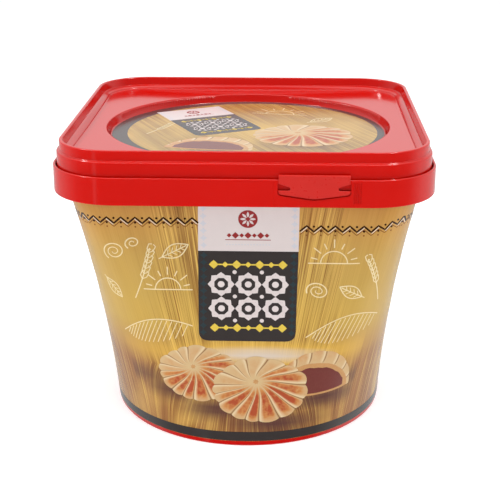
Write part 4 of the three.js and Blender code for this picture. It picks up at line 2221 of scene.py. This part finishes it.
@dataclass(frozen=True)
class Studio:
    """Pale floor, bright surround, soft lamps and the camera."""

    camera_place: Point3 = (18.535, -528.761, 256.063)
    camera_turn: Point3 = (70.651, 0.0, 1.921)
    lens: float = 84.7
    sensor: float = 36.0
    sight: float = 50_000.0  # how far the camera sees
    floor_radius: float = 4000.0
    floor_drop: float = 0.05  # keeps it clear of the tub's foot
    daylight: float = 0.72  # even light on everything that is matt
    mirrored: float = 1.0  # strength of what gloss shows round the horizon
    overhead: float = 1.7  # and of the light ceiling above, which draws lines on the upper edges
    overhead_from: Pair = (0.6, 0.9)  # how steeply upwards the ceiling begins
    low_end: Pair = (0.08, 0.28)  # how steeply upwards the low tones give way to the high ones
    # What gloss shows round the horizon, by degrees from the front leftwards: high up and low down.
    high: tuple[tuple[float, str], ...] = (
        (0, "#5A5A5A"), (60, "#808080"), (95, "#FFFFFF"),
        (265, "#FFFFFF"), (300, "#808080"), (360, "#5A5A5A"),
    )
    low: tuple[tuple[float, str], ...] = (
        (0, "#3C3C3C"), (34, "#3C3C3C"), (36.5, "#C8C8C8"), (39.5, "#C8C8C8"), (42, "#444444"),
        (70, "#6E6E6E"), (100, "#CCCCCC"), (260, "#EEEEEE"), (290, "#6E6E6E"), (318, "#3C3C3C"),
        (345, "#3C3C3C"), (346.5, "#6A6A6A"), (348.5, "#6A6A6A"), (350, "#3C3C3C"), (360, "#3C3C3C"),
    )
    lamps: tuple[tuple[Point3, Point2, float], ...] = (  # place, size and watts
        ((-700.0, -220.0, 820.0), (115.0, 115.0), 3.2),
        ((480.0, -220.0, 1020.0), (140.0, 140.0), 3.4),
        ((0.0, -420.0, 950.0), (1500.0, 120.0), 3.6),  # a long strip that lights the upper edges
    )
    aim: Point3 = (0.0, 0.0, 70.0)

    def build(self) -> None:
        """Builds the whole studio."""
        scene = bpy.context.scene
        scene.view_settings.view_transform = "Standard"
        scene.view_settings.look = "None"
        self.add_camera()
        self.add_floor()
        self.add_surround()
        for number, lamp in enumerate(self.lamps):
            self.add_lamp(f"lamp_{number}", *lamp)

    def add_camera(self) -> None:
        """Adds the camera and makes it the scene's."""
        data = bpy.data.cameras.new("camera")
        data.lens = self.lens
        data.sensor_width = self.sensor
        data.clip_end = self.sight * MM
        camera = bpy.data.objects.new("camera", data)
        camera.location = [value * MM for value in self.camera_place]
        camera.rotation_euler = [math.radians(value) for value in self.camera_turn]
        bpy.context.scene.collection.objects.link(camera)
        bpy.context.scene.camera = camera

    def add_floor(self) -> None:
        """Adds the floor, a wide flat disc."""
        shape = bmesh.new()
        bmesh.ops.create_circle(shape, cap_ends=True, segments=96, radius=self.floor_radius * MM)
        mesh = bpy.data.meshes.new("studio_floor")
        shape.to_mesh(mesh)
        shape.free()
        floor = bpy.data.objects.new("studio_floor", mesh)
        floor.location.z = -self.floor_drop * MM
        mesh.materials.append(SeamlessPaper("seamless_paper_white").material())
        bpy.context.scene.collection.objects.link(floor)
        floor.visible_glossy = False
        floor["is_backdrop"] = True

    def add_surround(self) -> None:
        """Lights matt surfaces evenly and gives gloss a bright back and a dim front to show."""
        world = bpy.data.worlds.new("studio_surround")
        bpy.context.scene.world = world
        world.use_nodes = True
        tree = world.node_tree
        tree.nodes.clear()
        direction = add_node(tree, "TexCoord").outputs["Generated"]
        parts = add_node(tree, "SeparateXYZ", {0: direction}).outputs
        bearing = add_node(tree, "Math", {0: parts["X"], 1: parts["Y"]}, operation="ARCTAN2").outputs[0]
        whole_turn = {"Value": bearing, "From Min": -math.pi, "From Max": math.pi}
        share = add_node(tree, "MapRange", whole_turn).outputs[0]
        high, low = (
            add_node(tree, "ValToRGB", {0: share}, stops=[(turn / 360, grey) for turn, grey in stops])
            for stops in (self.high, self.low)
        )
        first, last = self.low_end
        climb = {"Value": parts["Z"], "From Min": first, "From Max": last}
        upward = add_node(tree, "MapRange", climb, interpolation_type="SMOOTHSTEP").outputs[0]
        shown = {0: upward, 6: low.outputs[0], 7: high.outputs[0]}
        mirrored = add_node(tree, "Mix", shown, data_type="RGBA").outputs[2]
        path = add_node(tree, "LightPath").outputs
        glossy = path["Is Glossy Ray"]
        colours = {0: glossy, 6: linear("#FFFFFF"), 7: mirrored}
        first, last = self.overhead_from
        ceiling = {"Value": parts["Z"], "From Min": first, "From Max": last}
        levels = {"To Min": self.mirrored, "To Max": self.overhead}
        seen = add_node(tree, "MapRange", ceiling | levels, interpolation_type="SMOOTHSTEP").outputs[0]
        matt = {"Value": path["Is Camera Ray"], "To Min": self.daylight, "To Max": 1.0}
        strengths = {0: glossy, 2: add_node(tree, "MapRange", matt).outputs[0], 3: seen}
        light = {
            "Color": add_node(tree, "Mix", colours, data_type="RGBA").outputs[2],
            "Strength": add_node(tree, "Mix", strengths, data_type="FLOAT").outputs[0],
        }
        add_node(tree, "OutputWorld", {0: add_node(tree, "Background", light).outputs[0]})

    def add_lamp(self, name: str, place: Point3, size: Point2, watts: float) -> None:
        """Adds a rectangular soft lamp that faces the tub.

        Args:
            name: Its name.
            place: Its middle.
            size: Its two sides.
            watts: Its power.
        """
        data = bpy.data.lights.new(name, "AREA")
        data.shape = "RECTANGLE"
        data.size, data.size_y = (side * MM for side in size)
        data.energy = watts
        lamp = bpy.data.objects.new(name, data)
        lamp.location = [value * MM for value in place]
        away = Vector(self.aim) - Vector(place)
        lamp.rotation_euler = away.to_track_quat("-Z", "Y").to_euler()
        bpy.context.scene.collection.objects.link(lamp)


# ---- Assembly ----


def report(pieces: Sequence[Piece]) -> None:
    """Logs each piece with its number of faces."""
    for piece in pieces:
        LOG.info("%s: %d faces", piece.name, len(piece.data.polygons))


def main() -> None:
    """Builds the tub, the lid, the prints and the studio."""
    logging.basicConfig(level=logging.INFO, format="%(name)s %(message)s")
    wall, tab = TubWall(), TearTab()
    report([TubBody(wall).build(tab), *tab.build(), Lid().build()])
    report(SideFilm(wall).build())
    report(ZigzagBorder(wall).build())
    for side in Side:
        report(SidePrint(wall, side).build())
    report(LidFilm().build())
    Studio().build()
    boxes = {"cad": CAD_BOX, "visual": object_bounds()}
    {name: [list(corner) for corner in box] for name, box in boxes.items()}


if __name__ == "__main__":
    main()
